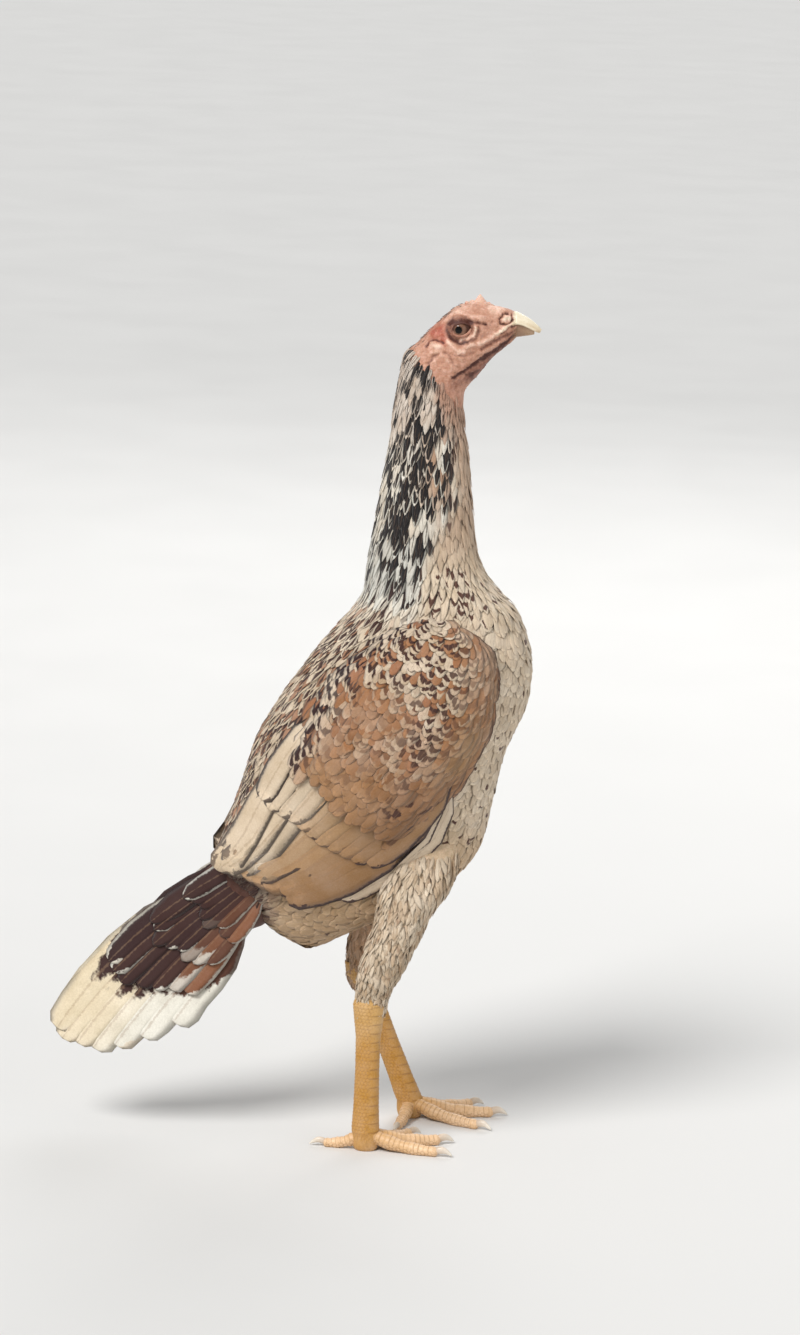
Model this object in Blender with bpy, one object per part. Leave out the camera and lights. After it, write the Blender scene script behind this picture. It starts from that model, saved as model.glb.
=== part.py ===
"""Aseel hen, standing and alert, at life size: one closed solid for each part of the bird.

Metres, +Z up. +X is the way the beak points and +Y is the bird's left side. The bird is
laid out from the plumb line through its hips, and CENTRE_X then moves it so that the
origin lies on the floor under the middle of its length.
"""

import math
import random

import bmesh
import bpy
from mathutils import Matrix, Vector

COLLECTION = "aseel_chicken"
CENTRE_X = 0.06807
GAP = 0.0003
WELD = 0.0000015
UP = Vector((0.0, 0.0, 1.0))
RIGHT = -1
LEFT = 1
SIDES = {"right": RIGHT, "left": LEFT}

# Trunk and neck, one row a level: height, back, front, half width.
TRUNK = (
    (0.1315, -0.0600, -0.0470, 0.0060),
    (0.1370, -0.0720, -0.0350, 0.0150),
    (0.1450, -0.0840, -0.0200, 0.0240),
    (0.1550, -0.0930, 0.0050, 0.0300),
    (0.1650, -0.1030, 0.0220, 0.0340),
    (0.1770, -0.1130, 0.0370, 0.0380),
    (0.1900, -0.1175, 0.0500, 0.0420),
    (0.2060, -0.1130, 0.0590, 0.0470),
    (0.2330, -0.1046, 0.0645, 0.0560),
    (0.2500, -0.0995, 0.0680, 0.0595),
    (0.2680, -0.0943, 0.0720, 0.0620),
    (0.2850, -0.0855, 0.0790, 0.0635),
    (0.3000, -0.0765, 0.0850, 0.0635),
    (0.3150, -0.0660, 0.0872, 0.0625),
    (0.3310, -0.0550, 0.0867, 0.0600),
    (0.3450, -0.0435, 0.0830, 0.0560),
    (0.3600, -0.0315, 0.0764, 0.0490),
    (0.3720, -0.0260, 0.0648, 0.0410),
)
NECK = (
    (0.3720, -0.0260, 0.0648, 0.0410),
    (0.3850, -0.0248, 0.0546, 0.0340),
    (0.3990, -0.0230, 0.0485, 0.0295),
    (0.4150, -0.0205, 0.0460, 0.0270),
    (0.4320, -0.0182, 0.0440, 0.0255),
    (0.4500, -0.0155, 0.0418, 0.0240),
    (0.4680, -0.0125, 0.0402, 0.0228),
)
# Upper neck and head, one row a section: back x, z, then throat x, z, then half width.
NECK_TOP = (
    (-0.0100, 0.4930, 0.0380, 0.4800, 0.0215),
    (-0.0065, 0.5130, 0.0365, 0.4935, 0.0200),
    (-0.0030, 0.5290, 0.0362, 0.5055, 0.0190),
)
HEAD = (
    (0.0004, 0.5270, 0.0362, 0.5055, 0.0180),
    (0.0050, 0.5372, 0.0395, 0.5110, 0.0182),
    (0.0120, 0.5452, 0.0430, 0.5150, 0.0184),
    (0.0200, 0.5530, 0.0470, 0.5200, 0.0182),
    (0.0290, 0.5608, 0.0505, 0.5250, 0.0174),
    (0.0380, 0.5632, 0.0545, 0.5295, 0.0155),
    (0.0470, 0.5630, 0.0585, 0.5330, 0.0126),
    (0.0550, 0.5620, 0.0620, 0.5355, 0.0096),
)
HEAD_SIDES = 20
BODY_SIDES = 24
BODY_POWER = 2.15

# Bill: culmen x, z, then cutting edge x, z, then half width.
UPPER_BILL = (
    (0.0552, 0.5616, 0.0594, 0.5455, 0.0086),
    (0.0640, 0.5609, 0.0655, 0.5490, 0.0073),
    (0.0715, 0.5578, 0.0710, 0.5487, 0.0058),
    (0.0775, 0.5532, 0.0762, 0.5465, 0.0042),
    (0.0817, 0.5488, 0.0803, 0.5442, 0.0025),
    (0.0840, 0.5460, 0.0826, 0.5432, 0.0009),
)
LOWER_BILL = (
    (0.0597, 0.5450, 0.0617, 0.5365, 0.0076),
    (0.0655, 0.5485, 0.0668, 0.5408, 0.0063),
    (0.0708, 0.5481, 0.0715, 0.5417, 0.0047),
    (0.0757, 0.5459, 0.0762, 0.5422, 0.0029),
    (0.0786, 0.5447, 0.0788, 0.5430, 0.0012),
)
NOSTRIL = Vector((0.0615, 0.0, 0.5542))
NOSTRIL_SIZE = (0.0027, 0.0016, 0.0011)

EYE = Vector((0.0312, 0.0112, 0.5474))
EYE_RADIUS = 0.0070
LID_LENGTH = 0.0072
LID_HEIGHT = 0.0054
LID_THICKNESS = 0.0013
EAR_LOBE = Vector((0.0140, 0.0164, 0.5325))
EAR_LOBE_SIZE = (0.0056, 0.0022, 0.0046)
MOUTH_CORNER = Vector((0.0444, 0.0152, 0.5373))
MOUTH_FRONT = Vector((0.0592, 0.0088, 0.5452))
LIP_RADIUS = 0.0010
COMB_FRONT = Vector((0.0520, 0.0, 0.5622))
COMB_BACK = Vector((0.0340, 0.0, 0.5620))
COMB_PEAK_HEIGHT = 0.0052
WATTLE = Vector((0.0428, 0.0052, 0.5225))
WATTLE_SIZE = (0.0066, 0.0022, 0.0040)

# Folded wing: its lower and upper edges from the shoulder to the tip, x and z.
WING_LOWER_EDGE = (
    (0.0270, 0.3620), (0.0600, 0.3400), (0.0600, 0.2930), (0.0430, 0.2560),
    (0.0137, 0.2184), (-0.0210, 0.1890), (-0.0598, 0.1700), (-0.0900, 0.1700),
    (-0.1160, 0.1790),
)
WING_UPPER_EDGE = (
    (0.0200, 0.3630), (-0.0135, 0.3500), (-0.0450, 0.3220), (-0.0700, 0.2820),
    (-0.0870, 0.2480), (-0.1000, 0.2140), (-0.1160, 0.1850),
)
WING_STANDOFF = 0.0036
WING_SPREAD = 0.0085
WING_RISE = 0.0025

# Tail: root, tip and bow of its top and lowest feathers.
TAIL_ROOT_TOP = (-0.1130, 0.1760)
TAIL_ROOT_LOW = (-0.0930, 0.1490)
TAIL_TIP = (-0.2220, 0.0660)
TAIL_TIP_RISE = 0.0790
TAIL_TIP_SAG = 0.0150
TAIL_TIP_LIFT = 0.0120
TAIL_BOW = 0.0090
TAIL_RIDGE_Y = 0.0078
TAIL_SPLAY = 0.30

# Legs, by side: thigh rows are height, back, front, y, half width.
THIGHS = {
    "right": (
        (0.1000, -0.0236, 0.0008, -0.0380, 0.0098),
        (0.1080, -0.0232, 0.0030, -0.0380, 0.0112),
        (0.1200, -0.0215, 0.0085, -0.0378, 0.0135),
        (0.1340, -0.0186, 0.0150, -0.0372, 0.0160),
        (0.1480, -0.0140, 0.0215, -0.0362, 0.0185),
        (0.1620, -0.0110, 0.0275, -0.0350, 0.0205),
        (0.1800, -0.0100, 0.0395, -0.0325, 0.0205),
        (0.2000, -0.0060, 0.0450, -0.0280, 0.0180),
        (0.2200, 0.0040, 0.0430, -0.0240, 0.0130),
    ),
    "left": (
        (0.1000, -0.0300, -0.0060, 0.0385, 0.0098),
        (0.1080, -0.0306, -0.0030, 0.0385, 0.0112),
        (0.1200, -0.0300, 0.0020, 0.0382, 0.0135),
        (0.1340, -0.0278, 0.0090, 0.0375, 0.0160),
        (0.1480, -0.0235, 0.0165, 0.0364, 0.0185),
        (0.1620, -0.0190, 0.0250, 0.0352, 0.0205),
        (0.1800, -0.0140, 0.0380, 0.0325, 0.0205),
        (0.2000, -0.0080, 0.0450, 0.0280, 0.0180),
        (0.2200, 0.0040, 0.0430, 0.0240, 0.0130),
    ),
}
THIGH_SIDES = 16
HOCK_Z = 0.0997
# Shank: hock and ankle centres, and half depths down its length.
SHANK_ENDS = {
    "right": (Vector((-0.0122, -0.0380, HOCK_Z)), Vector((-0.0120, -0.0380, 0.0120))),
    "left": (Vector((-0.0182, 0.0385, HOCK_Z)), Vector((0.0172, 0.0395, 0.0120))),
}
SHANK_DEPTHS = ((0.0, 0.0110), (0.10, 0.0100), (0.25, 0.0085), (0.5, 0.0082), (0.8, 0.0087), (1.0, 0.0096))
SHANK_WIDTH_SHARE = 0.84
SCUTES = 9
SHANK_SIDES = 11
SCUTE_STEP = 0.0006
# Toes: tip x, y of the flesh for each side, and the same radii for like toes.
TOE_TIPS = {
    "right": {
        "middle": (0.0380, -0.0222), "inner": (0.0180, -0.0085),
        "outer": (0.0365, -0.0495), "hind": (-0.0400, -0.0350),
    },
    "left": {
        "middle": (0.0745, 0.0450), "inner": (0.0640, 0.0145),
        "outer": (0.0600, 0.0650), "hind": (0.0090, 0.0060),
    },
}
TOE_RADII = {"middle": (0.0056, 0.0036), "inner": (0.0051, 0.0034), "outer": (0.0051, 0.0034),
             "hind": (0.0046, 0.0030)}
TOE_START_Z = 0.0120
TOE_RINGS = 8
TOE_SIDES = 8
CLAW_LENGTH = 0.0095
CLAW_RISE = 0.0014
CLAW_DROP = 0.0020

# Colours are the plumage's and the skin's own, with their roughness.
FINISHES = {
    "plumage_cream": ((0.62, 0.50, 0.36), 0.85),
    "plumage_chestnut": ((0.40, 0.22, 0.11), 0.85),
    "plumage_tail": ((0.10, 0.05, 0.04), 0.80),
    "plumage_hackle": ((0.45, 0.42, 0.38), 0.85),
    "face_skin": ((0.66, 0.34, 0.28), 0.60),
    "comb_skin": ((0.70, 0.36, 0.30), 0.55),
    "bill_horn": ((0.80, 0.70, 0.48), 0.40),
    "leg_scale": ((0.68, 0.44, 0.14), 0.55),
    "claw_horn": ((0.75, 0.66, 0.52), 0.40),
    "eye_pearl": ((0.30, 0.24, 0.16), 0.08),
}


def clear_scene():
    """Take every object of the open scene away."""
    for thing in list(bpy.data.objects):
        bpy.data.objects.remove(thing, do_unlink=True)


def material(finish):
    """Return the Principled material of a finish, made once."""
    found = bpy.data.materials.get(finish)
    if found:
        return found
    colour, roughness = FINISHES[finish]
    made = bpy.data.materials.new(finish)
    made.use_nodes = True
    shader = made.node_tree.nodes["Principled BSDF"]
    shader.inputs["Base Color"].default_value = (*colour, 1.0)
    shader.inputs["Roughness"].default_value = roughness
    shader.inputs["Metallic"].default_value = 0.0
    return made


def new_object(name, bm):
    """Put a finished bmesh in the scene as a named object."""
    bmesh.ops.recalc_face_normals(bm, faces=bm.faces)
    mesh = bpy.data.meshes.new(name)
    bm.to_mesh(mesh)
    bm.free()
    made = bpy.data.objects.new(name, mesh)
    bpy.context.scene.collection.objects.link(made)
    return made


def remove(thing):
    """Delete an object and its mesh."""
    mesh = thing.data
    bpy.data.objects.remove(thing, do_unlink=True)
    bpy.data.meshes.remove(mesh)


def loft(name, rings, round_ends=False):
    """Skin a row of equal rings into one closed object."""
    bm = bmesh.new()
    loops = [[bm.verts.new(point) for point in ring] for ring in rings]
    count = len(rings[0])
    for near, far in zip(loops, loops[1:]):
        for i in range(count):
            j = (i + 1) % count
            bm.faces.new((near[i], near[j], far[j]))
            bm.faces.new((near[i], far[j], far[i]))
    for loop in (loops[0], loops[-1]):
        if round_ends:
            middle = bm.verts.new(sum((vert.co for vert in loop), Vector()) / count)
            for i in range(count):
                bm.faces.new((loop[i], loop[(i + 1) % count], middle))
        else:
            bm.faces.new(loop)
    return new_object(name, bm)


def signed_power(value, power):
    """Raise a value's size to a power and keep its sign."""
    return math.copysign(abs(value) ** power, value)


def chord_ring(back, front, half_width, count, power=2.0, y=0.0):
    """Return a rounded section drawn round the chord from its back to its front."""
    middle = (back + front) / 2.0
    deep = (front - back) / 2.0
    ring = []
    for i in range(count):
        turn = math.tau * i / count
        across = signed_power(math.sin(turn), 2.0 / power) * half_width
        ring.append(middle + deep * signed_power(math.cos(turn), 2.0 / power) + Vector((0.0, y + across, 0.0)))
    return ring


def arch_ring(crest, base, half_width, count):
    """Return a section that is flat at its base and arched to its crest."""
    rise = crest - base
    ring = []
    for i in range(count):
        turn = math.pi * i / (count - 1)
        ring.append(base + rise * math.sin(turn) ** 0.8 + Vector((0.0, half_width * math.cos(turn), 0.0)))
    return ring


def section_points(row):
    """Return the two ends of a section row and its half width."""
    return Vector((row[0], 0.0, row[1])), Vector((row[2], 0.0, row[3])), row[4]


def level_row(row, rise=0.0):
    """Turn a level's row into a section row, moved up a little."""
    return row[1], row[0] + rise, row[2], row[0] + rise, row[3]


def catmull(a, b, c, d, share):
    """Return the smooth value between b and c."""
    return 0.5 * (2.0 * b + (c - a) * share + (2.0 * a - 5.0 * b + 4.0 * c - d) * share ** 2
                  + (3.0 * b - a - 3.0 * c + d) * share ** 3)


def along(points, share):
    """Return the smooth point at a share of the way through a list of points."""
    last = len(points) - 1
    place = min(max(share, 0.0), 1.0) * last
    start = min(int(place), last - 1)
    rows = [points[min(max(start + step, 0), last)] for step in (-1, 0, 1, 2)]
    return tuple(catmull(*values, place - start) for values in zip(*rows))


def even_spaced(points, count):
    """Return points at equal distances along a smooth outline."""
    fine = [Vector(along(points, i / 400.0)) for i in range(401)]
    reach = [0.0]
    for near, far in zip(fine, fine[1:]):
        reach.append(reach[-1] + (far - near).length)
    spaced = []
    k = 0
    for i in range(count):
        goal = reach[-1] * i / (count - 1)
        while k < 399 and reach[k + 1] < goal:
            k += 1
        share = (goal - reach[k]) / (reach[k + 1] - reach[k])
        spaced.append(fine[k].lerp(fine[k + 1], share))
    return spaced


def trunk_level(z):
    """Return the trunk's back, front and half width at a height."""
    z = min(max(z, TRUNK[0][0]), TRUNK[-1][0])
    for near, far in zip(TRUNK, TRUNK[1:]):
        if z <= far[0]:
            share = (z - near[0]) / (far[0] - near[0])
            return tuple(a + (b - a) * share for a, b in zip(near[1:], far[1:]))
    return TRUNK[-1][1:]


def grown(thing, by=GAP):
    """Return a copy of an object swollen evenly by a distance, to cut its neighbours clear."""
    bm = bmesh.new()
    bm.from_mesh(thing.data)
    bm.normal_update()
    moved = [(vert, vert.co + vert.normal * by * vert.calc_shell_factor()) for vert in bm.verts]
    for vert, place in moved:
        vert.co = place
    return new_object(thing.name + "_grown", bm)


def settle(thing):
    """Weld, triangulate and keep only the largest closed surface of an object."""
    bm = bmesh.new()
    bm.from_mesh(thing.data)
    bmesh.ops.remove_doubles(bm, verts=bm.verts, dist=WELD)
    bmesh.ops.dissolve_degenerate(bm, edges=bm.edges, dist=WELD)
    bmesh.ops.triangulate(bm, faces=bm.faces)
    left = set(bm.faces)
    islands = []
    while left:
        stack = [left.pop()]
        island = []
        while stack:
            face = stack.pop()
            island.append(face)
            for edge in face.edges:
                for other in edge.link_faces:
                    if other in left:
                        left.discard(other)
                        stack.append(other)
        islands.append(island)
    islands.sort(key=lambda island: sum(face.calc_area() for face in island))
    extra = [face for island in islands[:-1] for face in island]
    bmesh.ops.delete(bm, geom=extra, context="FACES")
    bm.to_mesh(thing.data)
    bm.free()


def combine(target, others, operation, solver="EXACT"):
    """Join objects to the target, or cut them from it, and use them up."""
    if not others:
        return target
    group = bpy.data.collections.new("operands")
    bpy.context.scene.collection.children.link(group)
    for other in others:
        bpy.context.scene.collection.objects.unlink(other)
        group.objects.link(other)
    step = target.modifiers.new("combine", "BOOLEAN")
    step.operation = operation
    step.solver = solver
    step.operand_type = "COLLECTION"
    step.collection = group
    graph = bpy.context.evaluated_depsgraph_get()
    result = bpy.data.meshes.new_from_object(target.evaluated_get(graph), depsgraph=graph)
    target.modifiers.clear()
    old = target.data
    target.data = result
    bpy.data.meshes.remove(old)
    for other in others:
        remove(other)
    bpy.data.collections.remove(group)
    settle(target)
    return target


def cut_clear(thing, neighbours):
    """Cut an object back until it stands the gap off each of its neighbours."""
    for neighbour in neighbours:
        combine(thing, [grown(neighbour)], "DIFFERENCE")
    return thing


def finish(thing, name, finish_name, smooth=True):
    """Name a part, give it its material and put it in the bird's collection."""
    thing.name = name
    thing.data.name = name
    thing.data.materials.clear()
    thing.data.materials.append(material(finish_name))
    if smooth:
        thing.data.shade_smooth()
        thing.data.set_sharp_from_angle(angle=math.radians(35.0))
    group = bpy.data.collections.get(COLLECTION)
    bpy.context.scene.collection.objects.unlink(thing)
    group.objects.link(thing)
    return thing


def ball(name, place, sizes, rings=6, segments=10):
    """Return an oval of the given half sizes."""
    bm = bmesh.new()
    bmesh.ops.create_uvsphere(bm, u_segments=segments, v_segments=rings, radius=1.0)
    for vert in bm.verts:
        vert.co = Vector((vert.co.x * sizes[0], vert.co.y * sizes[1], vert.co.z * sizes[2])) + place
    return new_object(name, bm)


def tube(name, path, radii, count, reference=UP, floor=None, round_ends=False):
    """Return a round tube through the path, flattened where it meets the floor."""
    rings = []
    for i, centre in enumerate(path):
        ahead = (path[min(i + 1, len(path) - 1)] - path[max(i - 1, 0)]).normalized()
        side = reference.cross(ahead).normalized()
        top = ahead.cross(side)
        ring = []
        for k in range(count):
            turn = math.tau * k / count
            point = centre + (side * math.cos(turn) + top * math.sin(turn)) * radii[i]
            if floor is not None:
                point.z = max(point.z, floor)
            ring.append(point)
        rings.append(ring)
    return loft(name, rings, round_ends)


class Sheet:
    """A curved surface that feathers are laid on, from u 0 at its root to 1, and v across."""

    def point(self, u, v):
        """Return the surface point at u, v."""
        raise NotImplementedError

    def frame(self, u, v):
        """Return the point, and the directions along, across and out of the surface there."""
        step = 0.01
        here = self.point(u, v)
        onward = self.point(u + step, v) - self.point(u - step, v)
        across = (self.point(u, v + step) - self.point(u, v - step)).normalized()
        ahead = onward.normalized()
        across = (across - ahead * across.dot(ahead)).normalized()
        out = ahead.cross(across).normalized()
        if out.y * self.side < 0.0:
            out.negate()
        return here, ahead, across, out

    def breadth(self, u, v):
        """Return how far apart v 0 and v 1 would lie at the local rate."""
        step = 0.01
        return (self.point(u, v + step) - self.point(u, v - step)).length / (2.0 * step)


class WingSheet(Sheet):
    """The outside of one folded wing, just clear of the trunk."""

    def __init__(self, side):
        self.side = side
        self.lower = even_spaced(WING_LOWER_EDGE, 81)
        self.upper = even_spaced(WING_UPPER_EDGE, 81)

    def point(self, u, v):
        """Return the point of the wing's base surface at u, v."""
        low = Vector(along(self.lower, u))
        high = Vector(along(self.upper, u))
        if u > 1.0:
            low = low + (low - Vector(along(self.lower, 0.98))) * (u - 1.0) / 0.02
            high = high + (high - Vector(along(self.upper, 0.98))) * (u - 1.0) / 0.02
        x, z = low + (high - low) * v
        back, front, half_width = trunk_level(z)
        middle = (back + front) / 2.0
        reach = (front - back) / 2.0 + WING_SPREAD
        share = min(abs(x - middle) / reach, 0.97)
        y = (half_width + WING_STANDOFF) * (1.0 - share ** BODY_POWER) ** (1.0 / BODY_POWER)
        return Vector((x, self.side * (y + WING_RISE * v), z))


class TailSheet(Sheet):
    """One side of the tail, held like a roof: v 0 at the ridge and 1 at the lowest feather."""

    def __init__(self, side):
        self.side = side

    def point(self, u, v):
        """Return the point of the tail's base surface at u, v."""
        root = Vector(TAIL_ROOT_TOP).lerp(Vector(TAIL_ROOT_LOW), v)
        spread = max(v, 0.0)
        tip = Vector(TAIL_TIP)
        tip.x += TAIL_TIP_RISE * (spread ** 1.6 + 0.06 * min(v, 0.0))
        tip.y += TAIL_TIP_LIFT * v - TAIL_TIP_SAG * math.sin(math.pi * min(spread, 1.0))
        bow = Vector((root.y - tip.y, tip.x - root.x)).normalized() * -TAIL_BOW * (1.0 - v)
        place = root.lerp(tip, u) + bow * 4.0 * u * (1.0 - u)
        ridge_root = Vector(TAIL_ROOT_TOP)
        run = (Vector(TAIL_TIP) - ridge_root).normalized()
        below = (place - ridge_root).dot(Vector((-run.y, run.x)))
        return Vector((place.x, self.side * (TAIL_RIDGE_Y + TAIL_SPLAY * below), place.y))


VANE_LAP = 0.0011
# Each tier of feathers: how many, where their roots and tips lie on the sheet at v 0 and
# at v 1, the span of v they stand on, their width, height over the sheet and lap.
WING_TIERS = {
    "primary": dict(count=4, root=(0.40, 0.42), tip=(0.77, 0.84), span=(-0.075, 0.15), width=0.0150,
                    height=-0.0016, lap=VANE_LAP),
    "secondary": dict(count=8, root=(0.38, 0.44), tip=(0.86, 1.0), span=(0.08, 0.92), width=0.0250,
                      height=0.0006, lap=VANE_LAP),
    "greater_covert": dict(count=7, root=(0.27, 0.30), tip=(0.53, 0.62), span=(0.10, 0.90), width=0.0250,
                           height=0.0033, lap=VANE_LAP),
    "median_covert": dict(count=6, root=(0.15, 0.17), tip=(0.37, 0.44), span=(0.13, 0.87), width=0.0250,
                          height=0.0060, lap=VANE_LAP),
}
TAIL_TIERS = {
    "rectrix": dict(count=6, root=(0.0, 0.0), tip=(1.0, 1.0), span=(0.0, 1.0), width=0.0300,
                    height=0.0, lap=-VANE_LAP),
    "covert_long": dict(count=5, root=(-0.08, -0.08), tip=(0.52, 0.60), span=(-0.04, 0.84), width=0.0210,
                        height=0.0032, lap=-VANE_LAP),
    "covert_short": dict(count=3, root=(-0.16, -0.16), tip=(0.28, 0.34), span=(0.04, 0.80), width=0.0220,
                         height=0.0062, lap=-VANE_LAP),
}
VANE_THICKNESS = 0.0005
VANE_SHAPE = ((0.0, 0.36), (0.22, 0.78), (0.50, 1.0), (0.75, 0.98), (0.91, 0.74), (1.0, 0.30))
SIDE_LIMIT = 0.35
ROOT_SINK = 0.0030
ROOT_GATHER = 0.30
UNION_SOLVER = "MANIFOLD"
CORE_EDGE = 0.0085
CORE_RIM = 0.0012
WING_CORE = (0.02, 0.58)
WING_DEPTH = (0.0200, 0.0040)
WING_SHOULDER = 0.0090
WING_SLOPE = 0.0180
WING_SEED = 11
TAIL_SEED = 31
TAIL_FLESH = ((-0.34, 0.0250, 0.0170), (-0.16, 0.0240, 0.0160), (-0.04, 0.0205, 0.0130), (0.06, 0.0150, 0.0090),
              (0.15, 0.0095, 0.0050), (0.22, 0.0040, 0.0010))


def vane(name, sheet, v, step, tier, share, draw):
    """Return one feather's vane, laid along the sheet with its root sunk in.

    It tilts so that it lies a lap's height over the next feather of its tier.
    """
    start = tier["root"][0] + (tier["root"][1] - tier["root"][0]) * share
    end = tier["tip"][0] + (tier["tip"][1] - tier["tip"][0]) * share + draw.uniform(-0.012, 0.012)
    width = tier["width"] * draw.uniform(0.95, 1.05)
    rings = []
    for place, breadth in VANE_SHAPE:
        u = start + (end - start) * place
        gather = ROOT_GATHER * max(0.0, 1.0 - place / 0.5) ** 2
        line = v + (0.5 - v) * gather
        _, _, across, out = sheet.frame(u, line)
        metric = sheet.breadth(u, line)
        tilt = tier["lap"] / (metric * step * (1.0 - gather))
        height = tier["height"] - ROOT_SINK * max(0.0, 1.0 - place / 0.22)
        half = width * breadth / 2.0
        ring = []
        for layer in (1.0, -1.0):
            for edge in (-1.0, 0.0, 1.0):
                reach = edge * layer * half
                shift = min(max(reach / metric, -SIDE_LIMIT), SIDE_LIMIT)
                place_on = sheet.point(u, line + shift) + across * (reach - shift * metric)
                ring.append(place_on + out * (height - tilt * reach + layer * VANE_THICKNESS / 2.0))
        rings.append(ring)
    return loft(name, rings)


def tier_vanes(sheet, name, tier, draw):
    """Return every vane of a tier, each over the one before it."""
    low, high = tier["span"]
    step = (high - low) / (tier["count"] - 1)
    vanes = []
    for i in range(tier["count"]):
        share = i / (tier["count"] - 1)
        vanes.append(vane(f"{name}_{i}", sheet, low + step * i, step, tier, share, draw))
    return vanes


def sheet_core(name, sheet, u_span, height, depth, rows=8, columns=8):
    """Return the flesh and small plumage that a sheet's feathers grow from."""
    outer = []
    inner = []
    for i in range(rows):
        share_on = i / (rows - 1)
        u = u_span[0] + (u_span[1] - u_span[0]) * share_on
        outer_row = []
        inner_row = []
        for k in range(columns):
            share = k / (columns - 1)
            here, _, _, out = sheet.frame(u, share)
            crown = 1.0 - abs(2.0 * share - 1.0) ** 5
            thick = depth[0] + (depth[1] - depth[0]) * share_on
            outer_row.append(here + out * (height(u) * crown - CORE_EDGE * (1.0 - crown)))
            inner_row.append(here - out * max(thick, CORE_EDGE + CORE_RIM))
        outer.append(outer_row)
        inner.append(inner_row)
    return slab(name, outer, inner)


def slab(name, outer, inner):
    """Close two equal grids of points into one solid."""
    bm = bmesh.new()
    rows = len(outer)
    columns = len(outer[0])
    top = [[bm.verts.new(point) for point in row] for row in outer]
    low = [[bm.verts.new(point) for point in row] for row in inner]
    for i in range(rows - 1):
        for k in range(columns - 1):
            for grid in (top, low):
                bm.faces.new((grid[i][k], grid[i + 1][k], grid[i + 1][k + 1]))
                bm.faces.new((grid[i][k], grid[i + 1][k + 1], grid[i][k + 1]))
    border = [(i, 0) for i in range(rows)] + [(rows - 1, k) for k in range(1, columns)]
    border += [(i, columns - 1) for i in range(rows - 2, -1, -1)] + [(0, k) for k in range(columns - 2, 0, -1)]
    for (i, k), (m, n) in zip(border, border[1:] + border[:1]):
        bm.faces.new((top[i][k], top[m][n], low[m][n]))
        bm.faces.new((top[i][k], low[m][n], low[i][k]))
    return new_object(name, bm)


def build_torso():
    """Return the trunk, from the vent to the base of the neck."""
    rings = [chord_ring(*section_points(level_row(row)), BODY_SIDES, BODY_POWER) for row in TRUNK]
    return loft("torso", rings)


def build_neck():
    """Return the neck, from the shoulders to the throat and the nape."""
    rows = [level_row(row) for row in NECK] + list(NECK_TOP)
    first = rows[0]
    rows[0] = (first[0], first[1] + GAP, first[2], first[3] + GAP, first[4])
    return loft("neck", [chord_ring(*section_points(row), BODY_SIDES, 2.05) for row in rows])


def head_shell():
    """Return the head's rounded form, standing the gap off the neck and the bill."""
    first = HEAD[0]
    back = Vector((first[0], 0.0, first[1]))
    front = Vector((first[2], 0.0, first[3]))
    ahead = Vector((back.z - front.z, 0.0, front.x - back.x)).normalized()
    rings = [chord_ring(back + ahead * GAP, front + ahead * GAP, first[4], HEAD_SIDES, 2.2)]
    rings += [chord_ring(*section_points(row), HEAD_SIDES, 2.2) for row in HEAD[1:]]
    return loft("head", rings)


def eye_place(side):
    """Return the centre of an eyeball."""
    return Vector((EYE.x, EYE.y * side, EYE.z))


def lid_ring(side):
    """Return the two lids of one eye as one soft almond rim."""
    centre = eye_place(side)
    ring_points = 12
    hug = EYE_RADIUS + LID_THICKNESS * 0.35
    rings = []
    for i in range(ring_points):
        turn = math.tau * i / ring_points
        corner = 1.0 + 0.16 * max(math.cos(turn), 0.0) ** 4
        x = LID_LENGTH * math.cos(turn) * corner
        z = LID_HEIGHT * math.sin(turn)
        y = math.sqrt(max(hug ** 2 - min(x * x + z * z, (0.86 * hug) ** 2), 0.0))
        out = Vector((x, side * y, z)).normalized()
        ahead = Vector((-LID_LENGTH * math.sin(turn), 0.0, LID_HEIGHT * math.cos(turn))).normalized()
        flat = out.cross(ahead).normalized()
        middle = centre + Vector((x, side * y, z))
        rings.append([middle + (out * math.cos(math.tau * k / 6) + flat * math.sin(math.tau * k / 6)) * LID_THICKNESS
                      for k in range(6)])
    bm = bmesh.new()
    loops = [[bm.verts.new(point) for point in ring] for ring in rings]
    for i in range(ring_points):
        near = loops[i]
        far = loops[(i + 1) % ring_points]
        for k in range(6):
            n = (k + 1) % 6
            bm.faces.new((near[k], near[n], far[n]))
            bm.faces.new((near[k], far[n], far[k]))
    return new_object("lids", bm)


def face_forms(side):
    """Return the lobe, folds, nodules and lip of one side of the face."""
    def at(place):
        return Vector((place.x, place.y * side, place.z))

    forms = [lid_ring(side), ball("lobe", at(EAR_LOBE), EAR_LOBE_SIZE)]
    ear_points = [EAR_LOBE + Vector((-0.0052 + 0.0105 * t, 0.0020, 0.0035 + 0.0034 * math.sin(math.pi * t)))
                  for t in (0.0, 0.2, 0.4, 0.6, 0.8, 1.0)]
    forms.append(tube("ear_fold", [at(point) for point in ear_points], [0.0009] + [0.0013] * 4 + [0.0009], 5,
                      Vector((0.0, 1.0, 0.0)), round_ends=True))
    lip_points = [MOUTH_CORNER.lerp(MOUTH_FRONT, t) + Vector((0.0, 0.0007 * math.sin(math.pi * t), 0.0))
                  for t in (0.0, 0.25, 0.5, 0.75, 0.97)]
    forms.append(tube("lip", [at(point) for point in lip_points], [LIP_RADIUS] * 5, 5,
                      Vector((0.0, 1.0, 0.0)), round_ends=True))
    for i, (x, z, size) in enumerate(((0.0195, 0.5262, 0.0019), (0.0225, 0.5232, 0.0016), (0.0165, 0.5220, 0.0015))):
        forms.append(ball(f"nodule_{i}", at(Vector((x, 0.0168, z))), (size, size, size), 4, 6))
    return forms


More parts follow.
